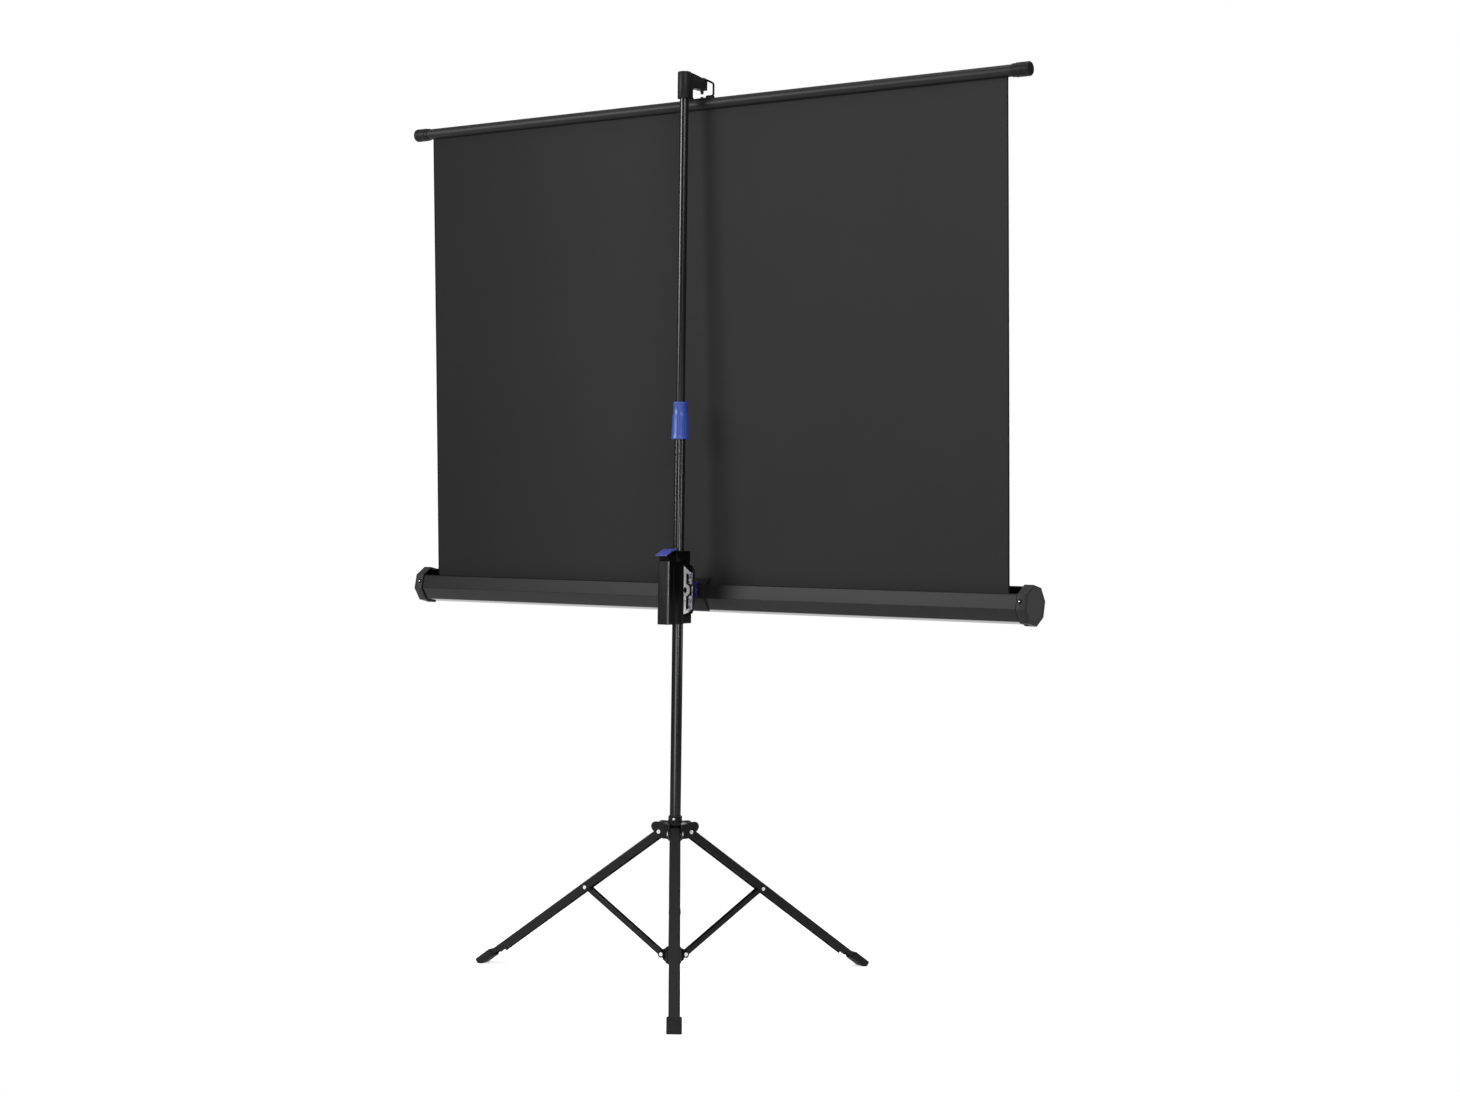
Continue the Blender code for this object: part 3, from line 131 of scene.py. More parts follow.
def finish(name, look):
    look = {**plainLook, **look}
    made, tree, shader = newMaterial(name)
    place = coordinates(tree, "Object")
    # slow change of tone over the piece; on the bracket's rear plates these patches are painted reflection
    cloud = noise(tree, place, look["mottleScale"], *look["mottleDetail"])
    patches = remap(tree, cloud.outputs["Fac"], 0.5 - look["patches"], 0.5 + look["patches"], 0.0, 1.0)
    colour = mixColour(tree, patches, rgba(look["dark"]), rgba(look["light"]))
    # fine specks of the coat or the mould
    speck = noise(tree, place, look["grainScale"], *look["grainDetail"])
    if "stretch" in look:
        drawn = nodeIn(tree, "ShaderNodeMapping", {"Vector": place, "Scale": look["stretch"]})
        tree.links.new(drawn.outputs["Vector"], speck.inputs["Vector"])
    # painted light and shade: colour and shine scaled along x
    if "paintedLightSweep" in look:
        paintedLightSweep = remap(tree, alongAxes(tree, place)["X"], *look["paintedLightSweep"])
        colour = scaled(tree, colour, paintedLightSweep)
        shine = mathIn(tree, "MULTIPLY", paintedLightSweep, look["specular"])
        tree.links.new(shine, shader.inputs["Specular IOR Level"])
    tree.links.new(colour, shader.inputs["Base Color"])
    gloss = remap(tree, speck.outputs["Fac"], *look["grainReach"], *look["roughness"])
    tree.links.new(gloss, shader.inputs["Roughness"])
    bump = nodeIn(tree, "ShaderNodeBump", {
        "Strength": look["bump"], "Distance": look["bumpDepth"], "Height": speck.outputs["Fac"]})
    if look["rounding"] > 0:
        rounding = nodeIn(tree, "ShaderNodeBevel", {"Radius": look["rounding"]}, samples=4)
        tree.links.new(rounding.outputs["Normal"], bump.inputs["Normal"])
    tree.links.new(bump.outputs["Normal"], shader.inputs["Normal"])
    shader.inputs["Metallic"].default_value = look["metallic"]
    shader.inputs["Specular IOR Level"].default_value = look["specular"]
    return made


plainLook = {  # what a finish has where it says nothing else
    "mottleScale": 40, "grainScale": 1200, "bump": 0.05, "bumpDepth": 0.0001,
    "patches": 0.5, "rounding": 0.0006, "metallic": 0, "specular": 0.5,
    "mottleDetail": (4, 0.6), "grainDetail": (3, 0.7), "grainReach": (0.3, 0.7),
}
caseLook = {
    "dark": (0.015, 0.015, 0.0155), "light": (0.019, 0.019, 0.0195), "mottleScale": 7, "grainScale": 900,
    "roughness": (0.34, 0.40), "bump": 0.04, "specular": 0.14,
}
finishes = {
    "tubePaint": {
        "dark": (0.005, 0.005, 0.0055), "light": (0.007, 0.007, 0.0075), "mottleScale": 14,
        "grainScale": 700, "roughness": (0.14, 0.18), "bump": 0.0, "specular": 0.9, "rounding": 0.0,
    },
    "upperTubePaint": {
        "dark": (0.008, 0.008, 0.009), "light": (0.011, 0.011, 0.012), "mottleScale": 14,
        "grainScale": 700, "roughness": (0.18, 0.22), "bump": 0.0, "specular": 0.4, "rounding": 0.0,
    },
    "wireBlack": {
        "dark": (0.003, 0.003, 0.003), "light": (0.005, 0.005, 0.005), "mottleScale": 60,
        "grainScale": 900, "roughness": (0.35, 0.45), "bump": 0.03, "specular": 0.1,
    },
    "legPaint": {
        "dark": (0.0090, 0.0090, 0.0095), "light": (0.0125, 0.0125, 0.0130), "mottleScale": 22,
        "grainScale": 900, "roughness": (0.40, 0.50), "bump": 0.08, "rounding": 0.0010, "specular": 0.17,
    },
    "barPaint": {
        "dark": (0.017, 0.017, 0.018), "light": (0.023, 0.023, 0.024), "mottleScale": 9,
        "grainScale": 900, "roughness": (0.34, 0.42), "bump": 0.06, "specular": 0.15,
    },
    # painted light and shade: the case's colour and shine are scaled along its length, the upper rear facets
    # darker and the lower rear facets lighter: x from and to, and the scale there
    "casePaint": caseLook,
    "caseUpperPaintedShade": {**caseLook, "paintedLightSweep": (-0.75, 0.75, 0.95, 0.42)},
    "caseLowerPaintedLight": {**caseLook, "paintedLightSweep": (-0.75, 0.75, 1.15, 1.45)},
    "caseEdge": {**caseLook, "roughness": (0.10, 0.14), "bump": 0.0, "rounding": 0.0, "specular": 0.5},
    "capPlastic": {
        "dark": (0.0190, 0.0190, 0.0195), "light": (0.0260, 0.0260, 0.0265), "mottleScale": 50,
        "roughness": (0.42, 0.50), "bump": 0.06, "specular": 0.18,
    },
    "blackPlastic": {
        "dark": (0.0095, 0.0095, 0.0100), "light": (0.0135, 0.0135, 0.0140),
        "roughness": (0.36, 0.46), "rounding": 0.0008, "specular": 0.14,
    },
    "bluePlastic": {
        "dark": (0.036, 0.076, 0.38), "light": (0.046, 0.094, 0.44), "mottleScale": 30,
        "roughness": (0.26, 0.36), "bump": 0.06, "rounding": 0.0005, "specular": 0.45,
    },
    "leverBlue": {
        "dark": (0.058, 0.062, 0.29), "light": (0.080, 0.084, 0.37), "mottleScale": 60,
        "roughness": (0.28, 0.36), "rounding": 0.0005, "specular": 0.45,
    },
    # painted shade: a darker blue for the catch, which sits in shade
    "catchBluePaintedShade": {
        "dark": (0.010, 0.010, 0.14), "light": (0.014, 0.014, 0.18), "mottleScale": 30,
        "roughness": (0.25, 0.33), "rounding": 0.0005,
    },
    "platedSteel": {
        "dark": (0.66, 0.66, 0.69), "light": (0.80, 0.80, 0.82), "mottleScale": 60, "grainScale": 260,
        "stretch": (1, 1, 14), "roughness": (0.24, 0.38), "metallic": 1.0, "rounding": 0.0003,
    },
    # the rivets' own light steel; also the painted highlights on the end cap screws
    "rivetSteelAndPaintedGlint": {
        "dark": (0.84, 0.84, 0.86), "light": (0.92, 0.92, 0.93), "mottleScale": 90, "grainScale": 900,
        "roughness": (0.24, 0.32), "bump": 0.03, "metallic": 0.3, "rounding": 0.0002,
    },
    # plated steel, with painted reflection: near-white and half metallic, so the front strips show as bright as
    # the white surroundings they mirror
    "bracketSteelAndPaintedReflection": {
        "dark": (0.93, 0.93, 0.94), "light": (0.98, 0.98, 0.98), "mottleScale": 60, "grainScale": 260,
        "stretch": (1, 1, 14), "roughness": (0.30, 0.42), "bump": 0.04, "rounding": 0.0003, "metallic": 0.4,
    },
    "bracketPaintedReflection": {  # painted reflection: dark and light patches standing in for the surroundings that the plating mirrors
        "dark": (0.06, 0.055, 0.075), "light": (0.62, 0.60, 0.70), "mottleScale": 170, "grainScale": 260,
        "stretch": (1, 1, 5), "roughness": (0.30, 0.42), "rounding": 0.0003, "patches": 0.08,
    },
    # painted light: the grip's flat back face, lighter than the rest of the moulding as it faces the light
    "gripPaintedLitFace": {
        "dark": (0.015, 0.015, 0.0155), "light": (0.019, 0.019, 0.0195),
        "roughness": (0.45, 0.55), "bump": 0.04, "specular": 0.06,
    },
    # painted highlight: one chamfer of the grip, lighter and glossier, on top of the lamp it mirrors
    "gripPaintedHighlight": {
        "dark": (0.055, 0.055, 0.056), "light": (0.065, 0.065, 0.066),
        "roughness": (0.24, 0.28), "bump": 0.02, "specular": 1.0,
    },
    # near-black finish of the lever's block and the foot hub; also painted shade on the grip's sides, the rings
    # round the rivets, the bands beside the end caps and the mast head's edges
    "deepBlackAndPaintedShade": {
        "dark": (0.003, 0.003, 0.003), "light": (0.005, 0.005, 0.005),
        "roughness": (0.34, 0.42), "bump": 0.04, "specular": 0.06,
    },
    "screwBlack": {
        "dark": (0.003, 0.003, 0.003), "light": (0.005, 0.005, 0.005), "mottleScale": 60,
        "grainScale": 900, "roughness": (0.30, 0.36), "bump": 0.0, "specular": 0.10,
    },
    "blackRubber": {
        "dark": (0.0060, 0.0060, 0.0060), "light": (0.0095, 0.0095, 0.0095), "mottleScale": 60,
        "roughness": (0.55, 0.72), "bump": 0.15, "bumpDepth": 0.0002, "specular": 0.2,
    },
}
paint = {name: finish(name, look) for name, look in finishes.items()}

clothLook = {
    "backDark": (0.031, 0.031, 0.032),
    "backLight": (0.0355, 0.0355, 0.0365),
    "front": (0.80, 0.80, 0.79),
    "frontDim": 0.97,
    "border": (0.018, 0.018, 0.018),
    "cloud": (3.5, 5, 0.55),  # scale, detail and roughness of the slow change of tone
    "threads": 1100.0,  # per metre
    "width": 1.45,
    "sideBorder": 0.030,
    "topBorder": 0.060,
    "paintedShadeReach": (0.12, 0.76),  # painted shade: the back is darker towards one side, and towards its foot, for the uneven light on it
    "shade": 0.68,
    "paintedShadeFoot": (0.95, 1.40),
    "paintedFootShade": 0.93,
    "edgeWidth": 0.0030,
    "edgeFade": 0.0002,
    "edgeDarkening": 0.22,
    "bump": 0.25,
    "bumpDepth": 0.0001,
    "roughness": 0.88,
    "specular": 0.1,
}


# painted shade: the back's colour is scaled down across the sheet and towards its foot; it is also darker in a
# narrow band along both side edges
def paintedBackShade(tree, colour):
    spot = alongAxes(tree, coordinates(tree, "Object"))
    across = remap(tree, spot["X"], *clothLook["paintedShadeReach"], 1.0, clothLook["shade"], "SMOOTHSTEP")
    along = remap(tree, spot["Z"], *clothLook["paintedShadeFoot"], clothLook["paintedFootShade"], 1.0, "SMOOTHSTEP")
    edge, fade = clothLook["width"] / 2 - clothLook["edgeWidth"], clothLook["edgeFade"]
    aside = mathIn(tree, "ABSOLUTE", spot["X"])
    bound = remap(tree, aside, edge - fade, edge + fade, 1.0, clothLook["edgeDarkening"])
    return scaled(tree, colour, mathIn(tree, "MULTIPLY", mathIn(tree, "MULTIPLY", across, along), bound))


def frontTone(tree, colour, across, up):  # black masking round the white surface
    half = clothLook["width"] / 2
    away = mathIn(tree, "ABSOLUTE", mathIn(tree, "SUBTRACT", across, half))
    side = mathIn(tree, "GREATER_THAN", away, half - clothLook["sideBorder"])
    over = mathIn(tree, "GREATER_THAN", up, runLength - clothLook["topBorder"])
    return mixColour(tree, mathIn(tree, "MAXIMUM", side, over), colour, rgba(clothLook["border"]))


def clothFinish(name, front):
    made, tree, shader = newMaterial(name)
    uv = coordinates(tree, "UV")
    split = alongAxes(tree, uv)
    turns = clothLook["threads"] * 2 * math.pi
    waves = [mathIn(tree, "SINE", mathIn(tree, "MULTIPLY", split[axis], turns)) for axis in "XY"]
    weave = mathIn(tree, "MULTIPLY", *waves)
    cloud = noise(tree, uv, *clothLook["cloud"])
    dark, light = clothLook["backDark"], clothLook["backLight"]
    if front:
        dark, light = tuple(clothLook["frontDim"] * c for c in clothLook["front"]), clothLook["front"]
    colour = mixColour(tree, cloud.outputs["Fac"], rgba(dark), rgba(light))
    colour = frontTone(tree, colour, split["X"], split["Y"]) if front else paintedBackShade(tree, colour)
    tree.links.new(colour, shader.inputs["Base Color"])
    bump = nodeIn(tree, "ShaderNodeBump", {
        "Strength": clothLook["bump"], "Distance": clothLook["bumpDepth"], "Height": weave})
    tree.links.new(bump.outputs["Normal"], shader.inputs["Normal"])
    shader.inputs["Roughness"].default_value = clothLook["roughness"]
    shader.inputs["Specular IOR Level"].default_value = clothLook["specular"]
    return made


def objectFrom(data, name):
    made = bpy.data.objects.new(name, data)
    bpy.context.scene.collection.objects.link(made)
    return made


def meshFrom(form, name):
    mesh = bpy.data.meshes.new(name)
    form.to_mesh(mesh)
    form.free()
    return objectFrom(mesh, name)


def formOf(mesh, merge=0.00001):
    form = bmesh.new()
    form.from_mesh(mesh)
    if merge:
        bmesh.ops.remove_doubles(form, verts=form.verts, dist=merge)
    return form


def dissolveFlat(form, degrees=0.5):
    angle = math.radians(degrees)
    bmesh.ops.dissolve_limit(form, angle_limit=angle, verts=form.verts, edges=form.edges)


def evaluated(made, name):
    graph = bpy.context.evaluated_depsgraph_get()
    mesh = bpy.data.meshes.new_from_object(made.evaluated_get(graph))
    mesh.transform(made.matrix_world)
    bpy.data.objects.remove(made, do_unlink=True)
    return objectFrom(mesh, name)


def closeUp(made):
    form = formOf(made.data)
    bmesh.ops.recalc_face_normals(form, faces=form.faces)
    form.to_mesh(made.data)
    form.free()
    return made


def shade(made, degrees=35):
    made.data.shade_smooth()
    made.data.set_sharp_from_angle(angle=math.radians(degrees))
    return made


def dress(made, body, *materials, replaces=(), slot=None):
    if materials:
        slots = [min(face.material_index, len(materials) - 1) for face in made.data.polygons]
        made.data.materials.clear()
        for one in materials:
            made.data.materials.append(one)
        made.data.polygons.foreach_set("material_index", slots)
    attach(made, body)
    if replaces:
        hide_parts(*replaces)
    return made


def bevel(made, width, segments, degrees):
    edge = made.modifiers.new("edges", "BEVEL")
    edge.width = width
    edge.segments = segments
    edge.limit_method = "ANGLE"
    edge.angle_limit = math.radians(degrees)
    return edge


def combined(made, parts, operation, name, crossing=False):
    for part in parts:
        step = made.modifiers.new("part", "BOOLEAN")
        step.operation = operation
        step.solver = "EXACT"
        step.use_self = crossing
        step.object = part
    made = evaluated(made, name)
    for part in parts:
        bpy.data.objects.remove(part, do_unlink=True)
    return made


def roundedCopy(node, name, width):
    form = formOf(cad[node].data)
    dissolveFlat(form)
    made = meshFrom(form, name)
    bevel(made, width, 3, 30)
    return shade(evaluated(made, name), 40)


def lathe(profile, name, steps=64):
    form = bmesh.new()
    turns = [2 * math.pi * k / steps for k in range(steps)]
    rings = []
    for radius, height in profile:
        if radius < 1e-7:
            rings.append([form.verts.new((0, 0, height))])
        else:
            places = [(radius * math.cos(a), radius * math.sin(a), height) for a in turns]
            rings.append([form.verts.new(place) for place in places])
    for first, second in zip(rings, rings[1:]):
        for k in range(steps):
            a = first[k % len(first)], first[(k + 1) % len(first)]
            b = second[k % len(second)], second[(k + 1) % len(second)]
            corners = [a[0], a[1], b[1], b[0]]
            corners = [v for i, v in enumerate(corners) if v not in corners[:i]]
            if len(corners) > 2:
                form.faces.new(corners)
    bmesh.ops.recalc_face_normals(form, faces=form.faces)
    return meshFrom(form, name)


def skin(form, rings):
    for first, second in zip(rings, rings[1:]):
        for k in range(len(first)):
            after = (k + 1) % len(first)
            form.faces.new((first[k], first[after], second[after], second[k]))


def placed(made, matrix):
    made.data.transform(matrix)
    return made


def turnZ(degrees):
    return Matrix.Rotation(math.radians(degrees), 4, "Z")


def jointPlace(name):
    joint = next(one for one in frame["joints"] if one["name"] == name)
    return Vector(joint["pos_m"])


def joined(name, *parts):
    form = bmesh.new()
    for part in parts:
        form.from_mesh(part.data)
        bpy.data.objects.remove(part, do_unlink=True)
    return meshFrom(form, name)


def flatPlate(outlines, thickness, name, edge=0.0003):
    curve = bpy.data.curves.new(name, "CURVE")
    curve.dimensions = "2D"
    curve.fill_mode = "BOTH"
    curve.extrude = thickness / 2
    for outline in outlines:
        line = curve.splines.new("POLY")
        line.points.add(len(outline) - 1)
        for point, (u, v) in zip(line.points, outline):
            point.co = (u, v, 0, 1)
        line.use_cyclic_u = True
    made = closeUp(evaluated(objectFrom(curve, name), name))
    if edge:
        form = formOf(made.data, 0)
        dissolveFlat(form)
        form.to_mesh(made.data)
        form.free()
        bevel(made, edge, 2, 50)
        made = evaluated(made, name)
    return made


def roundArc(centre, radius, start, end, steps):
    angles = [math.radians(start + (end - start) * k / steps) for k in range(steps + 1)]
    return [(centre[0] + radius * math.cos(a), centre[1] + radius * math.sin(a)) for a in angles]


def nodeTree(name, inputs, output):
    tree = bpy.data.node_groups.new(name, "GeometryNodeTree")
    for title, kind in inputs.items():
        tree.interface.new_socket(title, in_out="INPUT", socket_type="NodeSocket" + kind)
    tree.interface.new_socket(output, in_out="OUTPUT", socket_type="NodeSocketGeometry")
    return tree, tree.nodes.new("NodeGroupInput").outputs, tree.nodes.new("NodeGroupOutput").inputs


def coatedEnd(tree, geometry, coat, outlet):
    real = nodeIn(tree, "GeometryNodeRealizeInstances", {"Geometry": geometry})
    inputs = {"Geometry": real.outputs["Geometry"], "Material": coat}
    tree.links.new(nodeIn(tree, "GeometryNodeSetMaterial", inputs).outputs["Geometry"], outlet)


def grown(made, tree, values, name):
    step = made.modifiers.new(tree.name, "NODES")
    step.node_group = tree
    for item in tree.interface.items_tree:
        if item.in_out == "INPUT" and item.name in values:
            step[item.identifier] = values[item.name]
    return evaluated(made, name)


screen = {
    "thickness": 0.0006,
    "rollerRadius": 0.0122,
    "splitHeight": 1.105,
    "slackBelow": 0.055,  # the bends reach past the roller and the bar, so that neither cloth folds
    "slackAbove": 0.080,
    "hemDrop": 0.0069,
    "edgeBand": 0.050,  # the waves along the side edges
    "edgeWave": 0.00022,
    "edgePeriod": 0.0052,
    "edgeColumns": 84,
    "columns": 60,
    "lowerRows": 26,
    "upperRows": 44,
    "sag": 0.0012,
    "sagWave": (3.1, 0.7),
    "endFade": 8,
}


def screenLine():
    top = Vector((0, barMiddle.y, barMiddle.z - screen["hemDrop"]))
    run = Vector((top.y - caseAxis.y, top.z - caseAxis.z))
    radius = screen["rollerRadius"]
    turn = math.atan2(run.x, run.y) - math.asin(radius / run.length)
    return Vector((0, caseAxis.y + math.cos(turn) * radius, caseAxis.z - math.sin(turn) * radius)), top


def screenColumns():
    half, band = clothLook["width"] / 2, screen["edgeBand"]
    fine, wide = screen["edgeColumns"], screen["columns"]
    columns = [-half + band * k / fine for k in range(fine)]
    columns += [-half + band + (2 * half - 2 * band) * k / wide for k in range(wide + 1)]
    return columns + [half - band * (1 - k / fine) for k in range(1, fine + 1)]


def screenSheet(name, low, high, rows):
    climb = top - start
    half = clothLook["width"] / 2
    wave, shift = screen["sagWave"]
    columns = screenColumns()
    form = bmesh.new()
    uvLayer = form.loops.layers.uv.new("weave")
    grid = []
    for row in range(rows + 1):
        share = low + (high - low) * row / rows
        middle = start + climb * share
        fade = min(1, screen["endFade"] * share * (1 - share))
        line = []
        for x in columns:
            edge = max(0, 1 - (half - abs(x)) / screen["edgeBand"])
            ripple = math.sin(2 * math.pi * (half - abs(x)) / screen["edgePeriod"])
            ripple = screen["edgeWave"] * edge * edge * ripple
            slow = screen["sag"] * math.sin(wave * x / half + shift) * math.sin(math.pi * share)
            line.append(form.verts.new((x, middle.y + fade * (ripple + slow), middle.z)))
        grid.append(line)
    for row in range(rows):
        for k in range(len(columns) - 1):
            corners = ((k, row), (k + 1, row), (k + 1, row + 1), (k, row + 1))
            face = form.faces.new([grid[j][i] for i, j in corners])
            for loop, (i, j) in zip(face.loops, corners):
                loop[uvLayer].uv = (columns[i] + half, climb.length * (low + (high - low) * j / rows))
    made = meshFrom(form, name)
    made.data.materials.append(clothFront)
    made.data.materials.append(clothBack)
    thick = made.modifiers.new("thickness", "SOLIDIFY")
    thick.thickness = screen["thickness"]
    thick.offset = 0
    thick.material_offset = 1
    thick.material_offset_rim = 1
    return shade(evaluated(made, name), 50)


start, top = screenLine()
runLength = (top - start).length
clothFront = clothFinish("screenWhite", True)
clothBack = clothFinish("screenBlack", False)
splitShare = (screen["splitHeight"] - start.z) / (top.z - start.z)
lowerCloth = screenSheet("screenClothLower", 0, splitShare, screen["lowerRows"])
upperCloth = screenSheet("screenClothUpper", splitShare, 1, screen["upperRows"])
for cloth in (lowerCloth, upperCloth):
    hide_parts("screen_fabric")
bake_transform(lowerCloth)
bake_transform(upperCloth)
print("screen cloth made")

# finishes of the nodes that keep their own mesh; the rest of them are moulded plastic
plated = ("roller_tube", "pivot_washer", "pivot_bolt", "lever_pin", "catch_pin")
looks = {
    "top_bar": "barPaint",
    "foot_hub": "deepBlackAndPaintedShade",
    **{node: "platedSteel" for node in plated},
    **{f"{kind}_{number}": "legPaint" for kind in ("leg", "brace") for number in (1, 2, 3)},
}
for node, made in cad.items():
    if node != "screen_fabric":
        made.data.materials.clear()
        made.data.materials.append(paint[looks.get(node, "blackPlastic")])
print("finishes given to the carried-over nodes")

mastPlace = Matrix.Translation(mastAxis)
fastener = {  # of a head with the radius 1
    "rivet": ((0, 0.176), (0.16, 0.192), (0.24, 0.304), (0.30, 0.32), (0.34, 0.32), (0.84, 0.32),
              (0.88, 0.32), (0.96, 0.256), (1.0, 0.128), (1.0, 0)),
    # painted shadow: a flat ring wider than the head, laid round each rivet in near-black
    "ring": ((0, 0.06), (1.36, 0.06), (1.46, 0.0), (1.46, -0.06)),
    "screw": ((0, 0.44), (0.42, 0.44), (0.62, 0.4092), (0.84, 0.2904), (0.97, 0.1232), (1.0, 0)),
    "crossLength": 1.05, "crossWidth": 0.26, "crossTop": 0.44, "steps": 32,
}


def headShape(kind, degrees=50):
    return shade(lathe(fastener[kind], kind + "Head", fastener["steps"]), degrees)


def screwHead():
    length, width, top = fastener["crossLength"], fastener["crossWidth"], fastener["crossTop"]
    form = bmesh.new()
    for size in ((length, width, top), (width, length, top)):
        place = Matrix.Translation((0, 0, top)) @ Matrix.Diagonal((*size, 1))
        bmesh.ops.create_cube(form, size=1, matrix=place)
    made = lathe(fastener["screw"], "screwHead", fastener["steps"])
    return shade(combined(made, [meshFrom(form, "cross")], "DIFFERENCE", "screwHead", crossing=True), 40)


def fastenerTree():
    inputs = {"Places": "Geometry", "Head": "Object", "Size": "Float", "Finish": "Material"}
    tree, start, end = nodeTree("fasteners", inputs, "Fasteners")
    head = nodeIn(tree, "GeometryNodeObjectInfo", {"Object": start["Head"]})
    facing = nodeIn(tree, "GeometryNodeInputNamedAttribute", {"Name": "facing"}, data_type="FLOAT_VECTOR")
    radius = nodeIn(tree, "GeometryNodeInputNamedAttribute", {"Name": "radius"}, data_type="FLOAT")
    vector = {"Vector": facing.outputs["Attribute"]}
    turned = nodeIn(tree, "FunctionNodeAlignRotationToVector", vector, axis="Z")
    heads = nodeIn(tree, "GeometryNodeInstanceOnPoints", {
        "Points": start["Places"], "Instance": head.outputs["Geometry"],
        "Rotation": turned.outputs["Rotation"],
        "Scale": mathIn(tree, "MULTIPLY", radius.outputs["Attribute"], start["Size"])})
    coatedEnd(tree, heads.outputs["Instances"], start["Finish"], end["Fasteners"])
    return tree


def fasteners(name, places, head, finishName, shanks=(), material=0):
    mesh = bpy.data.meshes.new(name + "Places")
    mesh.from_pydata([place for place, facing, radius in places], [], [])
    mesh.attributes.new("facing", "FLOAT_VECTOR", "POINT")
    mesh.attributes.new("radius", "FLOAT", "POINT")
    for k, (place, facing, radius) in enumerate(places):
        mesh.attributes["facing"].data[k].vector = facing
        mesh.attributes["radius"].data[k].value = radius
    values = {"Head": head, "Size": 1.0, "Finish": paint[finishName]}
    heads = grown(objectFrom(mesh, name + "Places"), fastenerNodes, values, name)
    heads.data.polygons.foreach_set("material_index", [material] * len(heads.data.polygons))
    parts = [heads]
    for start, finish, thick in shanks:
        line = Vector(finish) - Vector(start)
        shank = lathe([(0, 0), (thick, 0), (thick, line.length), (0, line.length)], "shank", 16)
        turned = line.to_track_quat("Z", "Y").to_matrix().to_4x4()
        parts.append(placed(shank, Matrix.Translation(start) @ turned))
    return shade(joined(name, *parts), 40)


fastenerNodes = fastenerTree()
rivetShape, paintedShadowRingShape, screwShape = headShape("rivet"), headShape("ring"), screwHead()
rivets = {  # half the length under the heads, and the heads' radius
    "hub": (0.0151, 0.0043),
    "leg": (0.0113, 0.0040),
    "foot": (0.0066, 0.0042),
    "shank": 0.0023,
    "legTurns": (126.97, 6.97, 246.97),
}


def riveted(name, body, side, pins, nodes):
    places, shanks = [], []
    for middle, kind in pins:
        half, radius = rivets[kind]
        places += [(middle + side * half, side, radius), (middle - side * half, -side, radius)]
        shanks.append((middle - side * half, middle + side * half, rivets["shank"]))
    heads = fasteners(name, places, rivetShape, "rivetSteelAndPaintedGlint", shanks)
    # painted shadow: near-black rings round the rivet heads
    rings = fasteners(name + "Rings", places, paintedShadowRingShape, "deepBlackAndPaintedShade", material=1)
    made = shade(joined(name, heads, rings), 40)
    dress(made, body, paint["rivetSteelAndPaintedGlint"], paint["deepBlackAndPaintedShade"], replaces=nodes, slot="plated_steel")


for number, turn in zip((1, 2, 3), rivets["legTurns"]):
    side = turnZ(turn) @ Vector((0, 1, 0))
    pins = [(jointPlace(f"leg_{number}_fold"), "hub"), (jointPlace(f"brace_{number}_fold"), "leg")]
    nodes = (f"hub_rivet_{number}", f"leg_rivet_{number}")
    riveted(f"legRivets{number}", f"leg_{number}", side, pins, nodes)
    pins = [(middleOf(f"foot_rivet_{number}"), "foot")]
    riveted(f"braceRivet{number}", f"brace_{number}", side, pins, (f"foot_rivet_{number}",))

capScrews = {
    "radius": 0.0046, "shank": 0.0014, "depth": 0.0066, "facet": 0.0377, "centre": 0.0013, "glintRise": 0.0017,
}
hubScrew = {"radius": 0.0029, "shank": 0.0016, "depth": 0.0028, "seat": 0.0144}
capScrewNodes = [f"end_cap_screw_{number}" for number in (1, 2, 3, 4)]
places, shanks, paintedGlints = [], [], []
for node in capScrewNodes:
    middle = middleOf(node)
    out = Vector((0, middle.y - caseAxis.y, middle.z - caseAxis.z)).normalized()
    seat = Vector((middle.x, caseAxis.y, caseAxis.z)) + out * capScrews["facet"]
    places.append((seat, out, capScrews["radius"]))
    shanks.append((seat - out * capScrews["depth"], seat, capScrews["shank"]))
    # painted highlight: a small bright disc on each screw head's centre stands in for a lamp's glint
    paintedGlints.append((seat + out * capScrews["glintRise"], out, capScrews["centre"]))
made = fasteners("capScrews", places, screwShape, "screwBlack", shanks)
paintedGlints = fasteners("capScrewCentres", paintedGlints, rivetShape, "rivetSteelAndPaintedGlint", material=1)
made = shade(joined("capScrews", made, paintedGlints), 40)
dress(made, "carriage", paint["screwBlack"], paint["rivetSteelAndPaintedGlint"], replaces=capScrewNodes, slot="plated_steel")

middle = middleOf("hub_lock_screw")
out = Vector((middle.x - mastAxis.x, middle.y - mastAxis.y, 0)).normalized()
seat = Vector((mastAxis.x, mastAxis.y, middle.z)) + out * hubScrew["seat"]
shank = (seat - out * hubScrew["depth"], seat, hubScrew["shank"])
made = fasteners("hubScrew", [(seat, out, hubScrew["radius"])], screwShape, "platedSteel", [shank])
dress(made, "leg_slider", paint["platedSteel"], replaces=("hub_lock_screw",), slot="plated_steel")
for shape in (rivetShape, paintedShadowRingShape, screwShape):
    bpy.data.objects.remove(shape, do_unlink=True)
print("rivets and screws set")

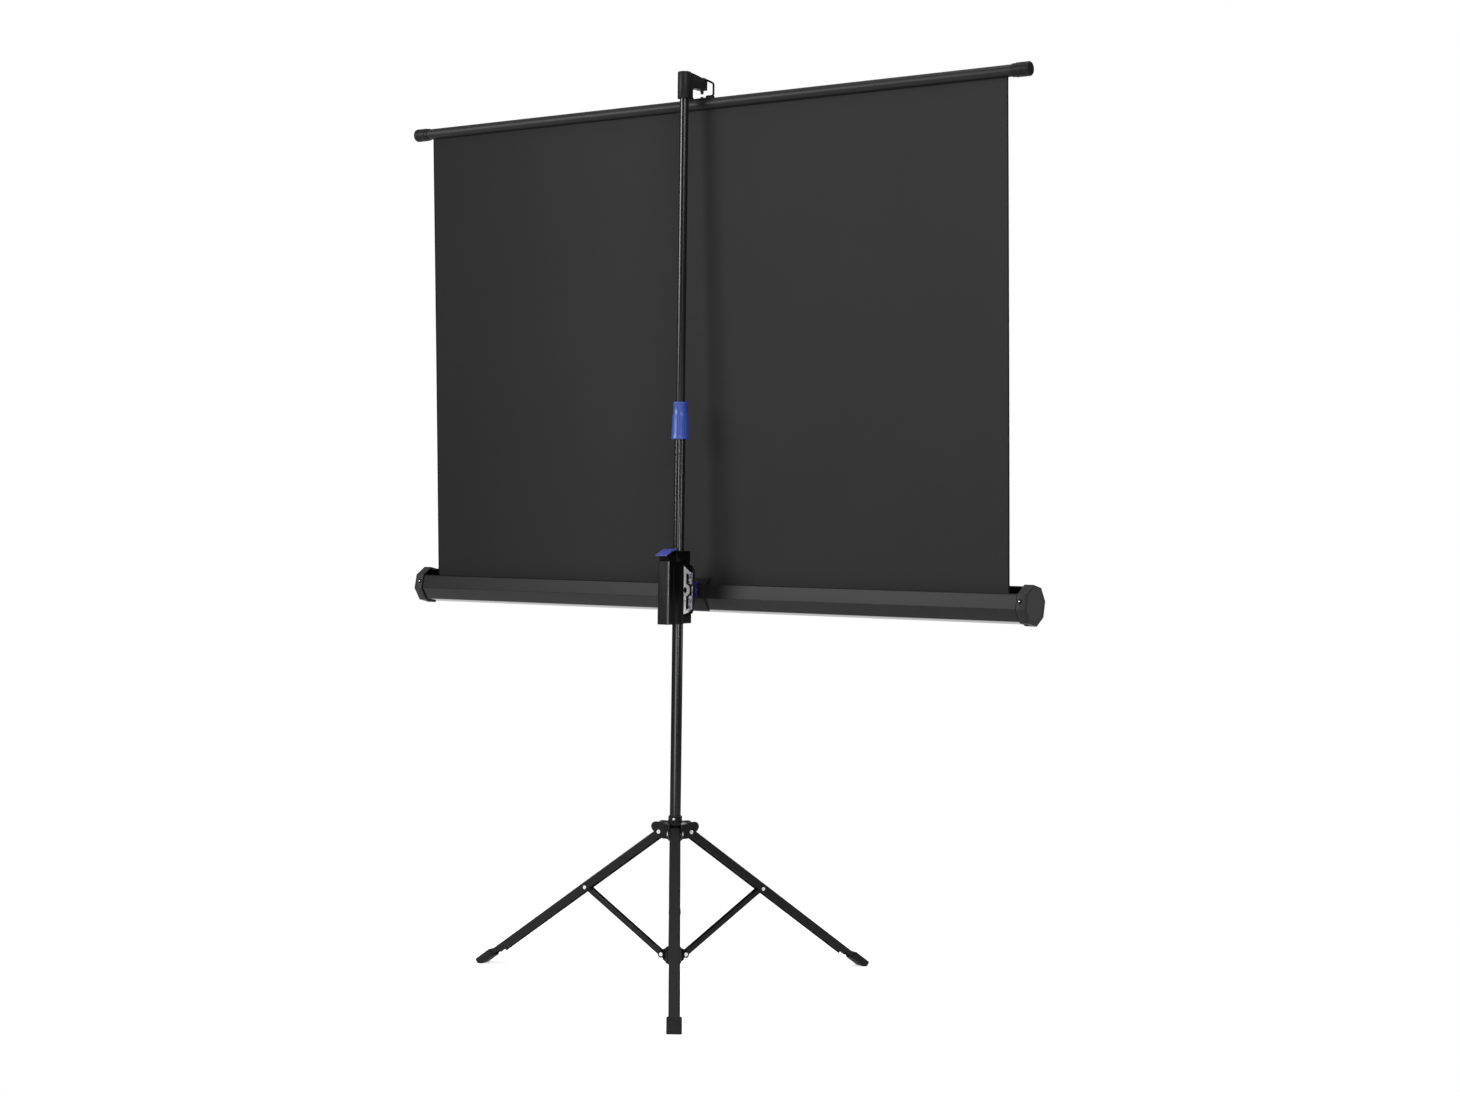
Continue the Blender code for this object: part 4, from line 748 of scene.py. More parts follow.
tubes = {  # node: name, radius, bore, end edge, body, finish
    "mast_lower_tube": ("lowerTube", 0.01120, 0.0098, 0.0003, "mast", "tubePaint"),
    "mast_upper_tube": ("upperTube", 0.00905, 0.0078, 0.0003, "upper_mast", "upperTubePaint"),
}
for node, (name, radius, bore, edge, body, look) in tubes.items():
    low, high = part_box(node)
    profile = [
        (bore, low.z), (radius - edge, low.z), (radius, low.z + edge),
        (radius, high.z - edge), (radius - edge, high.z), (bore, high.z), (bore, low.z),
    ]
    made = shade(placed(lathe(profile, name, 96), mastPlace), 40)
    dress(made, body, paint[look], replaces=(node,), slot="black_paint")
print("mast tubes made")

lock = {
    "top": 1.1911, "bottom": 1.1147, "neckRadius": 0.0151, "skirtTop": 0.0160, "skirtFoot": 0.0180,
    "neckHeight": 0.0265, "fluteDepth": 0.0006, "flutes": 10, "fluteSteps": 16, "fluteCurve": 0.7,
    "bore": 0.0094, "mouth": 0.0132, "mouthDepth": 0.02,
    # inset and drop at the neck's top, inset and rise above the step
    "lip": ((0.0012, 0), (0.0004, 0.0003), (0, 0.0010), (0, 0.0030), (0.0003, 0.0036)),
    "shoulder": ((0.0003, 0.0022), (0, 0.0014)),
    # inset, drop below the step and share of the flutes' depth
    "skirtEdge": ((0.0003, 0.0002, 0), (0, 0.0012, 0.1), (-0.00005, 0.0026, 0.8)),
    "skirtInset": 0.0003, "skirtSteps": 8, "footHeight": 0.0050, "footFall": 0.0012,
    "footEdge": ((0, 0.0012), (0.0004, 0.0003), (0.0012, 0)),  # inset and rise
}


def lockRows():  # radius, height and share of the flutes' depth
    top, bottom, neck, skirt = lock["top"], lock["bottom"], lock["neckRadius"], lock["skirtTop"]
    step, foot = top - lock["neckHeight"], bottom + lock["footHeight"]
    fall = lock["skirtEdge"][-1][1]
    rows = [(lock["bore"], top, 0)]
    rows += [(neck - inset, top - drop, 0) for inset, drop in lock["lip"]]
    rows += [(neck - inset, step + rise, 0) for inset, rise in lock["shoulder"]]
    rows += [(skirt - inset, step - drop, share) for inset, drop, share in lock["skirtEdge"]]
    for k in range(1, lock["skirtSteps"] + 1):
        share = k / lock["skirtSteps"]
        radius = skirt + (lock["skirtFoot"] - lock["skirtInset"] - skirt) * share
        rows.append((radius, step - fall + (foot - step + fall) * share, 1 if share < 1 else 0.8))
    rows.append((lock["skirtFoot"], foot - lock["footFall"], 0.1))
    rows += [(lock["skirtFoot"] - inset, bottom + rise, 0) for inset, rise in lock["footEdge"]]
    return rows + [(lock["mouth"], bottom, 0), (lock["mouth"], bottom + lock["mouthDepth"], 0)]


def twistLock():
    steps = lock["flutes"] * lock["fluteSteps"]
    form = bmesh.new()
    rings = []
    for radius, height, share in lockRows():
        ring = []
        for k in range(steps):
            angle = 2 * math.pi * k / steps
            wave = max(0.0, math.cos(lock["flutes"] * angle)) ** lock["fluteCurve"]
            reach = radius - lock["fluteDepth"] * share * wave
            ring.append(form.verts.new((reach * math.cos(angle), reach * math.sin(angle), height)))
        rings.append(ring)
    skin(form, rings)
    bmesh.ops.recalc_face_normals(form, faces=form.faces)
    return shade(placed(meshFrom(form, "twistLock"), mastPlace @ turnZ(180 / lock["flutes"])), 32)


dress(twistLock(), "lock", paint["bluePlastic"], replaces=("lock_nut",), slot="blue_plastic")
print("twist lock made")

barCap = {
    "radius": 0.0139, "rounding": 0.0036, "length": 0.0300, "edge": 0.0006,
    "grooves": (0.0085, 0.0115, 0.0145), "grooveDepth": 0.0004, "grooveWidth": 0.0014, "grooveSlope": 0.0004,
    "step": 0.0130, "stepLength": 0.0080, "stepEdge": 0.0005, "bore": 0.0119, "boreDepth": 0.004,
}


def capProfile():
    r, length, fillet, edge = (barCap[key] for key in ("radius", "length", "rounding", "edge"))
    width, slope, deep = barCap["grooveWidth"], barCap["grooveSlope"], r - barCap["grooveDepth"]
    step, foot, stepEdge = barCap["step"], length + barCap["stepLength"], barCap["stepEdge"]
    bore, inside = barCap["bore"], length + barCap["boreDepth"]
    profile = [(0, 0.0)] + [(x, y - fillet) for x, y in roundArc((r - fillet, 0), fillet, 90, 0, 8)]
    for at in barCap["grooves"]:
        profile += [(r, -at), (deep, -at - slope), (deep, -at - width + slope), (r, -at - width)]
    profile += [(r, edge - length), (r - edge, -length), (step, -length), (step, stepEdge - foot)]
    return profile + [(step - stepEdge, -foot), (bore, -foot), (bore, -inside)]


leftEnd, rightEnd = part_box("top_bar_cap_left")[1].x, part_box("top_bar_cap_right")[0].x
for side, name, node, end in (
    (1, "barCapLeft", "top_bar_cap_left", leftEnd), (-1, "barCapRight", "top_bar_cap_right", rightEnd),
):
    place = Matrix.Translation((end, barMiddle.y, barMiddle.z)) @ Matrix.Rotation(side * math.pi / 2, 4, "Y")
    made = shade(placed(lathe(capProfile(), name, 56), place), 35)
    dress(made, "upper_mast", paint["blackPlastic"], replaces=(node,), slot="black_plastic")

hookWire = {
    "radius": 0.0021, "bend": 0.0065, "half": 0.0288, "foot": 0.0245, "sideHeight": 0.0250, "topHalf": 0.0035,
}


def wireTree():
    inputs = {"Line": "Geometry", "Wire Radius": "Float", "Bend Radius": "Float", "Finish": "Material"}
    tree, start, end = nodeTree("hookWire", inputs, "Wire")
    bent = nodeIn(tree, "GeometryNodeFilletCurve", {
        "Curve": start["Line"], "Count": 8, "Radius": start["Bend Radius"], "Limit Radius": True}, mode="POLY")
    ring = nodeIn(tree, "GeometryNodeCurvePrimitiveCircle", {"Resolution": 20, "Radius": start["Wire Radius"]})
    swept = nodeIn(tree, "GeometryNodeCurveToMesh", {
        "Curve": bent.outputs["Curve"], "Profile Curve": ring.outputs["Curve"], "Fill Caps": True})
    coatedEnd(tree, swept.outputs["Mesh"], start["Finish"], end["Wire"])
    return tree


def bentWire():
    low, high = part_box("bar_bail")
    radius, half, barX = hookWire["radius"], hookWire["half"], middleOf("bar_hanger").x
    base, top = low.z + radius, high.z - radius - low.z - radius
    y = jointPlace("bail_swing").y
    line = [(hookWire["foot"], 0), (half, 0), (half, hookWire["sideHeight"]), (hookWire["topHalf"], top)]
    line += [(-x, z) for x, z in reversed(line)]
    curve = bpy.data.curves.new("hookLine", "CURVE")
    curve.dimensions = "3D"
    spline = curve.splines.new("POLY")
    spline.points.add(len(line) - 1)
    for point, (x, z) in zip(spline.points, line):
        point.co = (barX + x, y, base + z, 1)
    values = {"Wire Radius": radius, "Bend Radius": hookWire["bend"], "Finish": paint["wireBlack"]}
    return shade(closeUp(grown(objectFrom(curve, "hookWire"), wireTree(), values, "hookWire")), 50)


dress(bentWire(), "bail", paint["wireBlack"], replaces=("bar_bail",), slot="black_paint")
print("bar caps and hook wire made")

case = {
    "radius": 0.0373, "wall": 0.0012, "lip": 0.0026, "fold": 0.0016, "turn": -0.64, "firstCorner": 35,
    "paintedShadowBand": 0.0030, "paintedShadowStart": 0.0005, "lengths": 10,  # painted shadow: dark bands on the shell beside the end caps, where the caps' edges cast shade
    "under": -0.80, "rear": 0.3, "upper": -0.05,  # the facets' normals
    "capRadius": 0.0406, "capLength": 0.0205, "capEdge": 0.0009, "capEnd": 0.003, "capBevel": 0.0006,
    "capLip": 0.0005, "capGap": 0.0003, "capFold": 0.0018, "capPanelFold": 0.0012, "capPanel": (0.80, 0.82),
}


def octagonCorner(number, radius):
    angle = math.radians(case["turn"] + case["firstCorner"] - 45 * number)
    return Vector((radius * math.cos(angle), radius * math.sin(angle)))


def rounded(points, radius, steps, closed):
    line = []
    count = len(points)
    for k, point in enumerate(points):
        if not closed and k in (0, count - 1):
            line.append(point)
            continue
        before, after = points[k - 1], points[(k + 1) % count]
        into, away = (before - point).normalized(), (after - point).normalized()
        half = into.angle(away) / 2
        reach = radius / math.tan(half)
        centre = point + (into + away).normalized() * radius / math.sin(half)
        first, last = point + into * reach - centre, point + away * reach - centre
        for step in range(steps + 1):
            share = step / steps
            line.append(centre + (first * (1 - share) + last * share).normalized() * radius)
    return line


def caseProfile():
    corners = [octagonCorner(k, case["radius"]) for k in range(8)]
    lip = (corners[-1] - corners[0]).normalized() * case["lip"]
    outer = rounded([corners[0] + lip, *corners, corners[-1] - lip], case["fold"], 5, False)
    inner = []
    for k, point in enumerate(outer):
        sides = []
        if k > 0:
            sides.append((point - outer[k - 1]).normalized())
        if k < len(outer) - 1:
            sides.append((outer[k + 1] - point).normalized())
        normal = sum((Vector((s.y, -s.x)) for s in sides), Vector((0, 0))).normalized()
        inner.append(point + normal * case["wall"])
    return outer, inner


def caseShell():
    outer, inner = caseProfile()
    loop = outer + list(reversed(inner))
    low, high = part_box("case_shell")
    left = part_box("case_end_cap_left")[1].x - case["capLength"]
    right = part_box("case_end_cap_right")[0].x + case["capLength"]
    paintedShadowBand, begin, count = case["paintedShadowBand"], case["paintedShadowStart"], case["lengths"]
    stations = [low.x, right - begin, right + paintedShadowBand]
    stations += [right + paintedShadowBand + (left - right - 2 * paintedShadowBand) * k / count for k in range(1, count)]
    stations += [left - paintedShadowBand, left + begin, high.x]
    form = bmesh.new()
    rings = [[form.verts.new((x, caseAxis.y + p.x, caseAxis.z + p.y)) for p in loop] for x in stations]
    skin(form, rings)
    last = 2 * len(outer) - 1
    for ring in (rings[0], rings[-1]):
        for k in range(len(outer) - 1):
            form.faces.new((ring[k], ring[k + 1], ring[last - 1 - k], ring[last - k]))
    bmesh.ops.recalc_face_normals(form, faces=form.faces)
    for face in form.faces:
        x = face.calc_center_median().x
        # painted shadow: the narrow bands beside the end caps take the near-black finish
        if right < x < right + paintedShadowBand or left - paintedShadowBand < x < left:
            face.material_index = 1
        elif face.normal.z < case["under"]:
            face.material_index = 2
        # painted light and shade: the upper and lower rear facets take darker and lighter copies of the case paint
        elif face.normal.y > case["rear"]:
            face.material_index = 3 if face.normal.z > case["upper"] else 4
    return shade(meshFrom(form, "caseShell"), 20)


def endCap(side, name):
    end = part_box("case_end_cap_left")[1].x if side > 0 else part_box("case_end_cap_right")[0].x
    r, e, length, bevelled = case["capRadius"], case["capEdge"], case["capLength"], case["capBevel"]
    inner = case["radius"] + case["capGap"]
    panelIn, panelOut = case["capPanel"]
    stations = [  # radius of the octagon and distance in from the end face
        (r * panelIn, bevelled), (r * panelOut, 0.0), (r - e, 0), (r - e * 0.3, e * 0.3), (r, e),
        (r, length - bevelled), (r - case["capLip"], length), (inner, length), (inner, case["capEnd"]),
    ]
    form = bmesh.new()
    rings = []
    for radius, depth in stations:
        fold = case["capFold"] if radius > 0.9 * r else case["capPanelFold"]
        line = rounded([octagonCorner(k, radius) for k in range(8)], fold, 4, True)
        rings.append([form.verts.new((end - side * depth, caseAxis.y + p.x, caseAxis.z + p.y)) for p in line])
    skin(form, rings)
    form.faces.new(rings[0])
    form.faces.new(rings[-1])
    bmesh.ops.recalc_face_normals(form, faces=form.faces)
    return shade(meshFrom(form, name), 25)


caseFinishes = [paint[name] for name in ("casePaint", "deepBlackAndPaintedShade", "caseEdge", "caseUpperPaintedShade", "caseLowerPaintedLight")]
dress(caseShell(), "carriage", *caseFinishes, replaces=("case_shell",), slot="case_paint")
for side, name, node in ((1, "endCapLeft", "case_end_cap_left"), (-1, "endCapRight", "case_end_cap_right")):
    dress(endCap(side, name), "carriage", paint["capPlastic"], replaces=(node,), slot="black_plastic")
print("case and end caps made")

bracket = {
    "height": 0.8077, "front": 0.0011, "back": 0.0310, "half": 0.049, "side": 0.01425, "wall": 0.0015,
    "chamfer": 0.0135, "slantEnd": 0.006, "ringCentre": 0.0080, "ringRadius": 0.0120,
    "holeCentre": 0.0046, "holeRadius": 0.0062, "boltHole": 0.0043, "slot": (0.0075, 0.0170),
    # places along the front strip and its windows, up and down from the ring
    "window": (0.0138, 0.033, 0.035, 0.0315), "lowWindow": (0.0138, 0.039, 0.0405, 0.038),
    "nick": ((0.0010, -0.0190), (0.0070, -0.0220), (0.0070, -0.0238), (0.0010, -0.0208)),
    "windowCorners": (0.002, 0.004), "rearCorners": (0.004, 0.007),
    "rearEdge": (0.0125, 0.0115), "rearFoot": (0.0036, 0.0065, 0.0105),
}
pivot = Vector((mastAxis.x, mastAxis.y, bracket["height"]))


def bracketSide(side, name):
    back, half, corner = bracket["back"] - bracket["front"], bracket["half"], bracket["slantEnd"]
    near, far = bracket["slot"]
    slant = bracket["chamfer"] / (back - corner)
    ring = (bracket["ringCentre"], 0)
    foot, footMiddle, footBack = (rise - half for rise in bracket["rearFoot"])
    corners, rearCorners = bracket["windowCorners"], bracket["rearCorners"]
    inner, shoulder, high, outer = bracket["window"]
    lowInner, lowShoulder, lowHigh, lowOuter = bracket["lowWindow"]
    strip = [(0, half), (far, half - slant * far), (far, outer)]
    strip += [(near + corners[0], high), (near, shoulder), (near, inner)]
    strip += roundArc(ring, bracket["ringRadius"], 88, -88, 18)
    strip += [(near, -lowInner), (near, -lowShoulder), (near + corners[1], -lowHigh), (far, -lowOuter)]
    strip += [(far, foot), (0, -half)]
    strip += roundArc(ring, bracket["ringRadius"], -131, -229, 14)
    hole = roundArc((bracket["holeCentre"], 0), bracket["holeRadius"], 0, 345, 23)
    bright = flatPlate([strip, bracket["nick"], hole], bracket["wall"], name)
    front, rear = bracket["rearEdge"]
    top = half - bracket["chamfer"]
    upper = [(far, front), (far, half - slant * far), (back - corner, top)]
    upper += [(back, top - rearCorners[0]), (back, rear)]
    lower = [(far, -front), (back, -rear), (back, footBack), (back - rearCorners[1], footMiddle), (far, foot)]
    rears = [flatPlate([outline], bracket["wall"], name + "Rear") for outline in (upper, lower)]
    turned = Matrix(((0, 0, 1, 0), (-1, 0, 0, -bracket["front"]), (0, 1, 0, 0), (0, 0, 0, 1)))
    place = Matrix.Translation(pivot + Vector((side * (bracket["side"] - bracket["wall"] / 2), 0, 0))) @ turned
    return placed(bright, place), [placed(one, place) for one in rears]


def bracketBack():
    half, side = bracket["half"] - bracket["chamfer"], bracket["side"]
    outline = [(-side, -half), (side, -half), (side, half), (-side, half)]
    hole = roundArc((0, 0), bracket["boltHole"], 0, 345, 23)
    made = flatPlate([outline, hole], bracket["wall"], "bracketBack")
    place = Matrix.Translation(pivot + Vector((0, bracket["wall"] / 2 - bracket["back"], 0)))
    return placed(made, place @ Matrix.Rotation(math.pi / 2, 4, "X"))


(nearStrip, nearRear), (farStrip, farRear) = bracketSide(-1, "near"), bracketSide(1, "far")
strips = joined("bracketStrips", nearStrip, farStrip)
rears = joined("bracketRear", *nearRear, *farRear, bracketBack())
# the front strips and the rear plates both carry painted reflection
for made, look in ((strips, "bracketSteelAndPaintedReflection"), (rears, "bracketPaintedReflection")):
    dress(shade(made, 35), "carriage", paint[look], replaces=("pivot_bracket",), slot="plated_steel")
print("pivot bracket made")

grip = {
    "half": 0.01425, "back": 0.0522, "top": 0.0595, "bottom": -0.0694, "chamfer": 0.0027,
    "groove": (0.0078, 0.0205), "grooveDepth": 0.0009, "line": (0.0352, 0.0372), "lineDepth": 0.0007,
    "grooveTop": 0.045, "edge": 0.0006, "over": 0.001, "backDepth": 0.004,
    "slanted": 0.5, "flat": 0.9,  # the back faces' normals
    "pocket": (0.0122, 0.0250, 0.0100), "pocketWall": 0.0020,  # half width, reach from the front, depth
}


def prism(outline, low, high, name):
    made = flatPlate([outline], high - low, name, 0)
    return placed(made, Matrix.Translation((mastAxis.x, mastAxis.y, pivot.z + (high + low) / 2)))


def without(made, cutters, name):
    return closeUp(combined(made, cutters, "DIFFERENCE", name))


def gripCutters():
    half, back, corner, over, past = (grip[key] for key in ("half", "back", "chamfer", "over", "backDepth"))
    foot, top = grip["bottom"] - over, grip["top"]
    cutters = []
    for side in (1, -1):
        wide = side * (half + past)
        outline = [(side * (half - corner), back), (wide, back - corner - past), (wide, back + past)]
        cutters.append(prism(outline, foot, top + over, "corner"))
        for (start, end), depth in ((grip["groove"], grip["grooveDepth"]), (grip["line"], grip["lineDepth"])):
            outside, inside = side * (half + over), side * (half - depth)
            outline = [(outside, start - over), (outside, end + over), (inside, end), (inside, start)]
            cutters.append(prism(outline, foot, grip["grooveTop"], "groove"))
    wide, deep, high = grip["pocket"]
    front, rear = back - deep, back - grip["pocketWall"]
    outline = [(-wide, front), (wide, front), (wide, rear), (-wide, rear)]
    return cutters + [prism(outline, top - high, top + 2 * over, "pocket")]


def carriageBody(materials):
    made = meshFrom(formOf(cad["carriage_body"].data), "carriageBody")
    made = without(made, gripCutters(), "carriageBody")
    for one in materials:
        made.data.materials.append(one)
    # painted light and shade: the flat back face is lighter, one chamfer a painted highlight, and the sides and
    # the rest near-black shade, though the grip is one moulding
    for face in made.data.polygons:
        face.material_index = 1
        behind = face.center.y > mastAxis.y + grip["back"] - grip["backDepth"]
        if behind and face.normal.y > grip["slanted"]:
            face.material_index = 0 if face.normal.y > grip["flat"] else (2 if face.normal.x < 0 else 1)
    bevel(made, grip["edge"], 2, 35)
    return shade(evaluated(made, "carriageBody"), 40)


gripFinishes = [paint[name] for name in ("gripPaintedLitFace", "deepBlackAndPaintedShade", "gripPaintedHighlight")]
made = carriageBody(gripFinishes)
dress(made, "carriage", *gripFinishes, replaces=("carriage_body",), slot="black_plastic")

leverBlock = {
    "half": 0.0118, "edge": 0.0004,
    "line": ((0.0608, 0.8662), (0.0778, 0.8662), (0.0778, 0.8820),
             (0.0714, 0.8850), (0.0660, 0.8868), (0.0608, 0.8881)),
}
made = flatPlate([leverBlock["line"]], 2 * leverBlock["half"], "leverBlock", leverBlock["edge"])
made = placed(made, Matrix(((0, 0, 1, 0), (1, 0, 0, 0), (0, 1, 0, 0), (0, 0, 0, 1))))
dress(shade(made, 35), "lever", paint["deepBlackAndPaintedShade"], slot="black_plastic")
print("carriage body and lever's block made")

head = {
    "radius": 0.0139, "top": 1.8624, "length": 0.0544, "edge": 0.0012, "bore": 0.0093, "boreDepth": 0.044,
    "turn": -108.0, "half": 0.0088, "depth": 0.0318, "archReach": 0.0155, "fillet": 0.0055, "endReach": 0.0511,
    "drops": ((0.0, 0.0006), (0.008, 0.0010), (0.014, 0.0019), (0.023, 0.0040),
              (0.0336, 0.0071), (0.044, 0.0109), (0.0495, 0.0134)),  # reach and drop of the arm's back
    "endDrop": 0.0152, "archFoot": 0.0004, "over": 0.001,
    "lip": ((0, 0.0012), (0.0012, 0.0016), (0.016, 0.0004)),  # inset and drop under the arm's end
    "peg": (0.0444, 0.0033, 0.0085), "pegEdge": 0.0006, "pegRoot": 0.004,  # reach, radius, length
}
hookDisc = {"radius": 0.0100, "height": 0.0006, "reach": 0.0400, "skirt": 0.0004}


def headSleeve(top, low):
    r, e, bore, inside = head["radius"], head["edge"], head["bore"], low + head["boreDepth"]
    return lathe([
        (0, top), (r - e, top), (r - e * 0.3, top - e * 0.3), (r, top - e), (r, low + e),
        (r - e * 0.3, low + e * 0.3), (r - e, low), (bore, low), (bore, inside), (0, inside),
    ], "sleeve")


def headArm(top, low, under):
    end, arch, fillet, foot = head["endReach"], head["archReach"], head["fillet"], low + head["archFoot"]
    outline = [(reach, top - drop) for reach, drop in head["drops"]] + [(end, top - head["endDrop"])]
    outline += [(end - inset, under - drop) for inset, drop in head["lip"]]
    outline += roundArc((arch + fillet, under - fillet), fillet, 90, 180, 6)
    outline += [(arch, low + head["edge"]), (arch - head["over"], foot), (0.0, foot)]
    arm = flatPlate([outline], 2 * head["half"], "arm", 0)
    return placed(arm, Matrix.Rotation(math.pi / 2, 4, "X"))


def headPeg(under):
    reach, radius, length = head["peg"]
    edge, root = head["pegEdge"], length + head["pegRoot"]
    peg = lathe([(0, 0), (radius - edge, 0), (radius, edge), (radius, root), (0, root)], "peg", 32)
    return placed(peg, Matrix.Translation((reach, 0, under - length)))


def mastHead():
    top, low, under = head["top"], head["top"] - head["length"], head["top"] - head["depth"]
    parts = [headArm(top, low, under), headPeg(under)]
    made = combined(headSleeve(top, low), parts, "UNION", "mastHead")
    bore, inside = head["bore"], low + head["boreDepth"]
    mouth = low - head["over"]
    cutter = lathe([(0, mouth), (bore, mouth), (bore, inside), (0, inside)], "bore", 48)
    made = without(made, [cutter], "mastHead")
    for name in ("blackPlastic", "deepBlackAndPaintedShade"):
        made.data.materials.append(paint[name])
    bevel(made, head["edge"], 2, 35).material = 1  # painted shade: the bevelled edges take the near-black finish, for the dark rims where the light falls off
    return shade(placed(evaluated(made, "mastHead"), mastPlace @ turnZ(head["turn"])), 35)


def armDisc(side, name):
    r, h = hookDisc["radius"], hookDisc["height"]
    profile = [
        (0, h * 0.55), (r * 0.30, h * 0.55), (r * 0.33, h), (r * 0.90, h), (r * 0.97, h * 0.7),
        (r, 0), (r, -hookDisc["skirt"]),
    ]
    height = head["top"] - head["depth"] + r
    place = Matrix.Translation((hookDisc["reach"], side * head["half"], height))
    place = mastPlace @ turnZ(head["turn"]) @ place @ Matrix.Rotation(-side * math.pi / 2, 4, "X")
    return shade(closeUp(placed(lathe(profile, name), place)), 35)


made = mastHead()
dress(made, "upper_mast", paint["blackPlastic"], paint["deepBlackAndPaintedShade"],
      replaces=("mast_head",), slot="black_plastic")
for side, name in ((1, "hookDiscNear"), (-1, "hookDiscFar")):
    dress(armDisc(side, name), "upper_mast", paint["blackPlastic"], slot="black_plastic")
print("mast head and its discs made")

softened = {  # node: name, edge width, finish, slot
    "height_lever": ("heightLever", 0.0007, "leverBlue", "blue_plastic"),
    "case_catch": ("caseCatch", 0.0005, "catchBluePaintedShade", "blue_plastic"),
    "foot_1": ("rubberFoot1", 0.0009, "blackRubber", "black_rubber"),
    "foot_2": ("rubberFoot2", 0.0009, "blackRubber", "black_rubber"),
    "foot_3": ("rubberFoot3", 0.0009, "blackRubber", "black_rubber"),
    "pivot_plate": ("pivotPlate", 0.0005, "legPaint", "black_paint"),
}
footShort = {"node": "foot_1", "joint": "leg_1_fold", "length": 0.0075, "from": 0.45}


def shortened(made):
    along = (jointPlace(footShort["joint"]) - middleOf(footShort["node"])).normalized()
    reaches = [vertex.co.dot(along) for vertex in made.data.vertices]
    low, high = min(reaches), max(reaches)
    for vertex, reach in zip(made.data.vertices, reaches):
        share = (reach - low) / (high - low)
        if share > footShort["from"]:
            vertex.co -= along * footShort["length"] * (share - footShort["from"]) / (1 - footShort["from"])
    return made


for node, (name, width, look, slot) in softened.items():
    made = roundedCopy(node, name, width)
    if node == footShort["node"]:
        made = shortened(made)
    dress(made, bodyOf[node], paint[look], replaces=(node,), slot=slot)
print("moulded pieces rounded")

studio = {
    "floorRadius": 1.7,
    "floorColour": 0.80,
    "floorGlow": 0.56,
    "floorRoughness": 0.9,
    "floorFade": (0.8, 1.45),
    "ambient": 0.20,
    "wallGlow": 0.05,
    "ceilingGlow": 0.40,
    "wallRise": (0.12, 0.55),
    "floorRise": (-0.22, -0.10),
}
lamps = {  # place, target, size, power
    "key": ((3.75, 5.1, 3.0), (0, 0, 1.25), (3.0, 2.4), 290),
    "nearSide": ((-2.6, 1.9, 2.9), (-0.6, 0, 1.3), (1.8, 1.6), 55),
    "overhead": ((-0.6, 0.4, 4.4), (-0.3, 0, 0.8), (2.6, 2.6), 50),
    "frontFill": ((1.5, -3.6, 2.2), (0, 0, 1.0), (2.2, 2.2), 60),
}
glossyLamps = {  # narrow lamps that only shiny faces mirror
    "lockStrip": ((-1.10, 3.20, 1.16), (0, 0, 1.1), (0.75, 0.56), 6),
    "lockStripRight": ((-3.38, 0.30, 1.16), (0, 0, 1.1), (0.60, 0.56), 3.5),
    "lockStripFar": ((2.5, 2.3, 1.16), (0, 0, 1.1), (0.2, 0.56), 4),
    "upperStrip": ((-2.66, 2.10, 1.72), (0, 0, 1.5), (0.30, 0.90), 1.4),
    "lowerStrip": ((-0.80, 3.30, 0.34), (0, 0, 0.5), (1.80, 0.68), 9),
    "gripStrip": ((-2.73, 2.03, 0.72), (0, 0, 0.8), (0.80, 0.36), 6),
    "endCapWall": ((-1.8, -2.0, 0.80), (-0.77, 0, 0.8), (1.2, 0.7), 3),
}


def studioWorld():
    world = bpy.data.worlds.new("studio")
    bpy.context.scene.world = world
    world.use_nodes = True
    tree = world.node_tree
    tree.nodes.clear()
    ray = nodeIn(tree, "ShaderNodeLightPath").outputs
    seen = mathIn(tree, "MAXIMUM", ray["Is Camera Ray"], ray["Is Transmission Ray"])
    up = alongAxes(tree, coordinates(tree, "Generated"))["Z"]
    rise = remap(tree, up, *studio["wallRise"], studio["wallGlow"], studio["ceilingGlow"], "SMOOTHSTEP")
    fall = remap(tree, up, *studio["floorRise"], 1.0, 0.0, "SMOOTHSTEP")
    plain, white, mirrored = (
        nodeIn(tree, "ShaderNodeBackground", {"Color": grey(1), "Strength": strength}).outputs[0]
        for strength in (studio["ambient"], 1, mathIn(tree, "ADD", rise, fall)))
    glossy = nodeIn(tree, "ShaderNodeMixShader", {0: ray["Is Glossy Ray"], 1: plain, 2: mirrored}).outputs[0]
    mixed = nodeIn(tree, "ShaderNodeMixShader", {0: seen, 1: glossy, 2: white}).outputs[0]
    nodeIn(tree, "ShaderNodeOutputWorld", {"Surface": mixed})


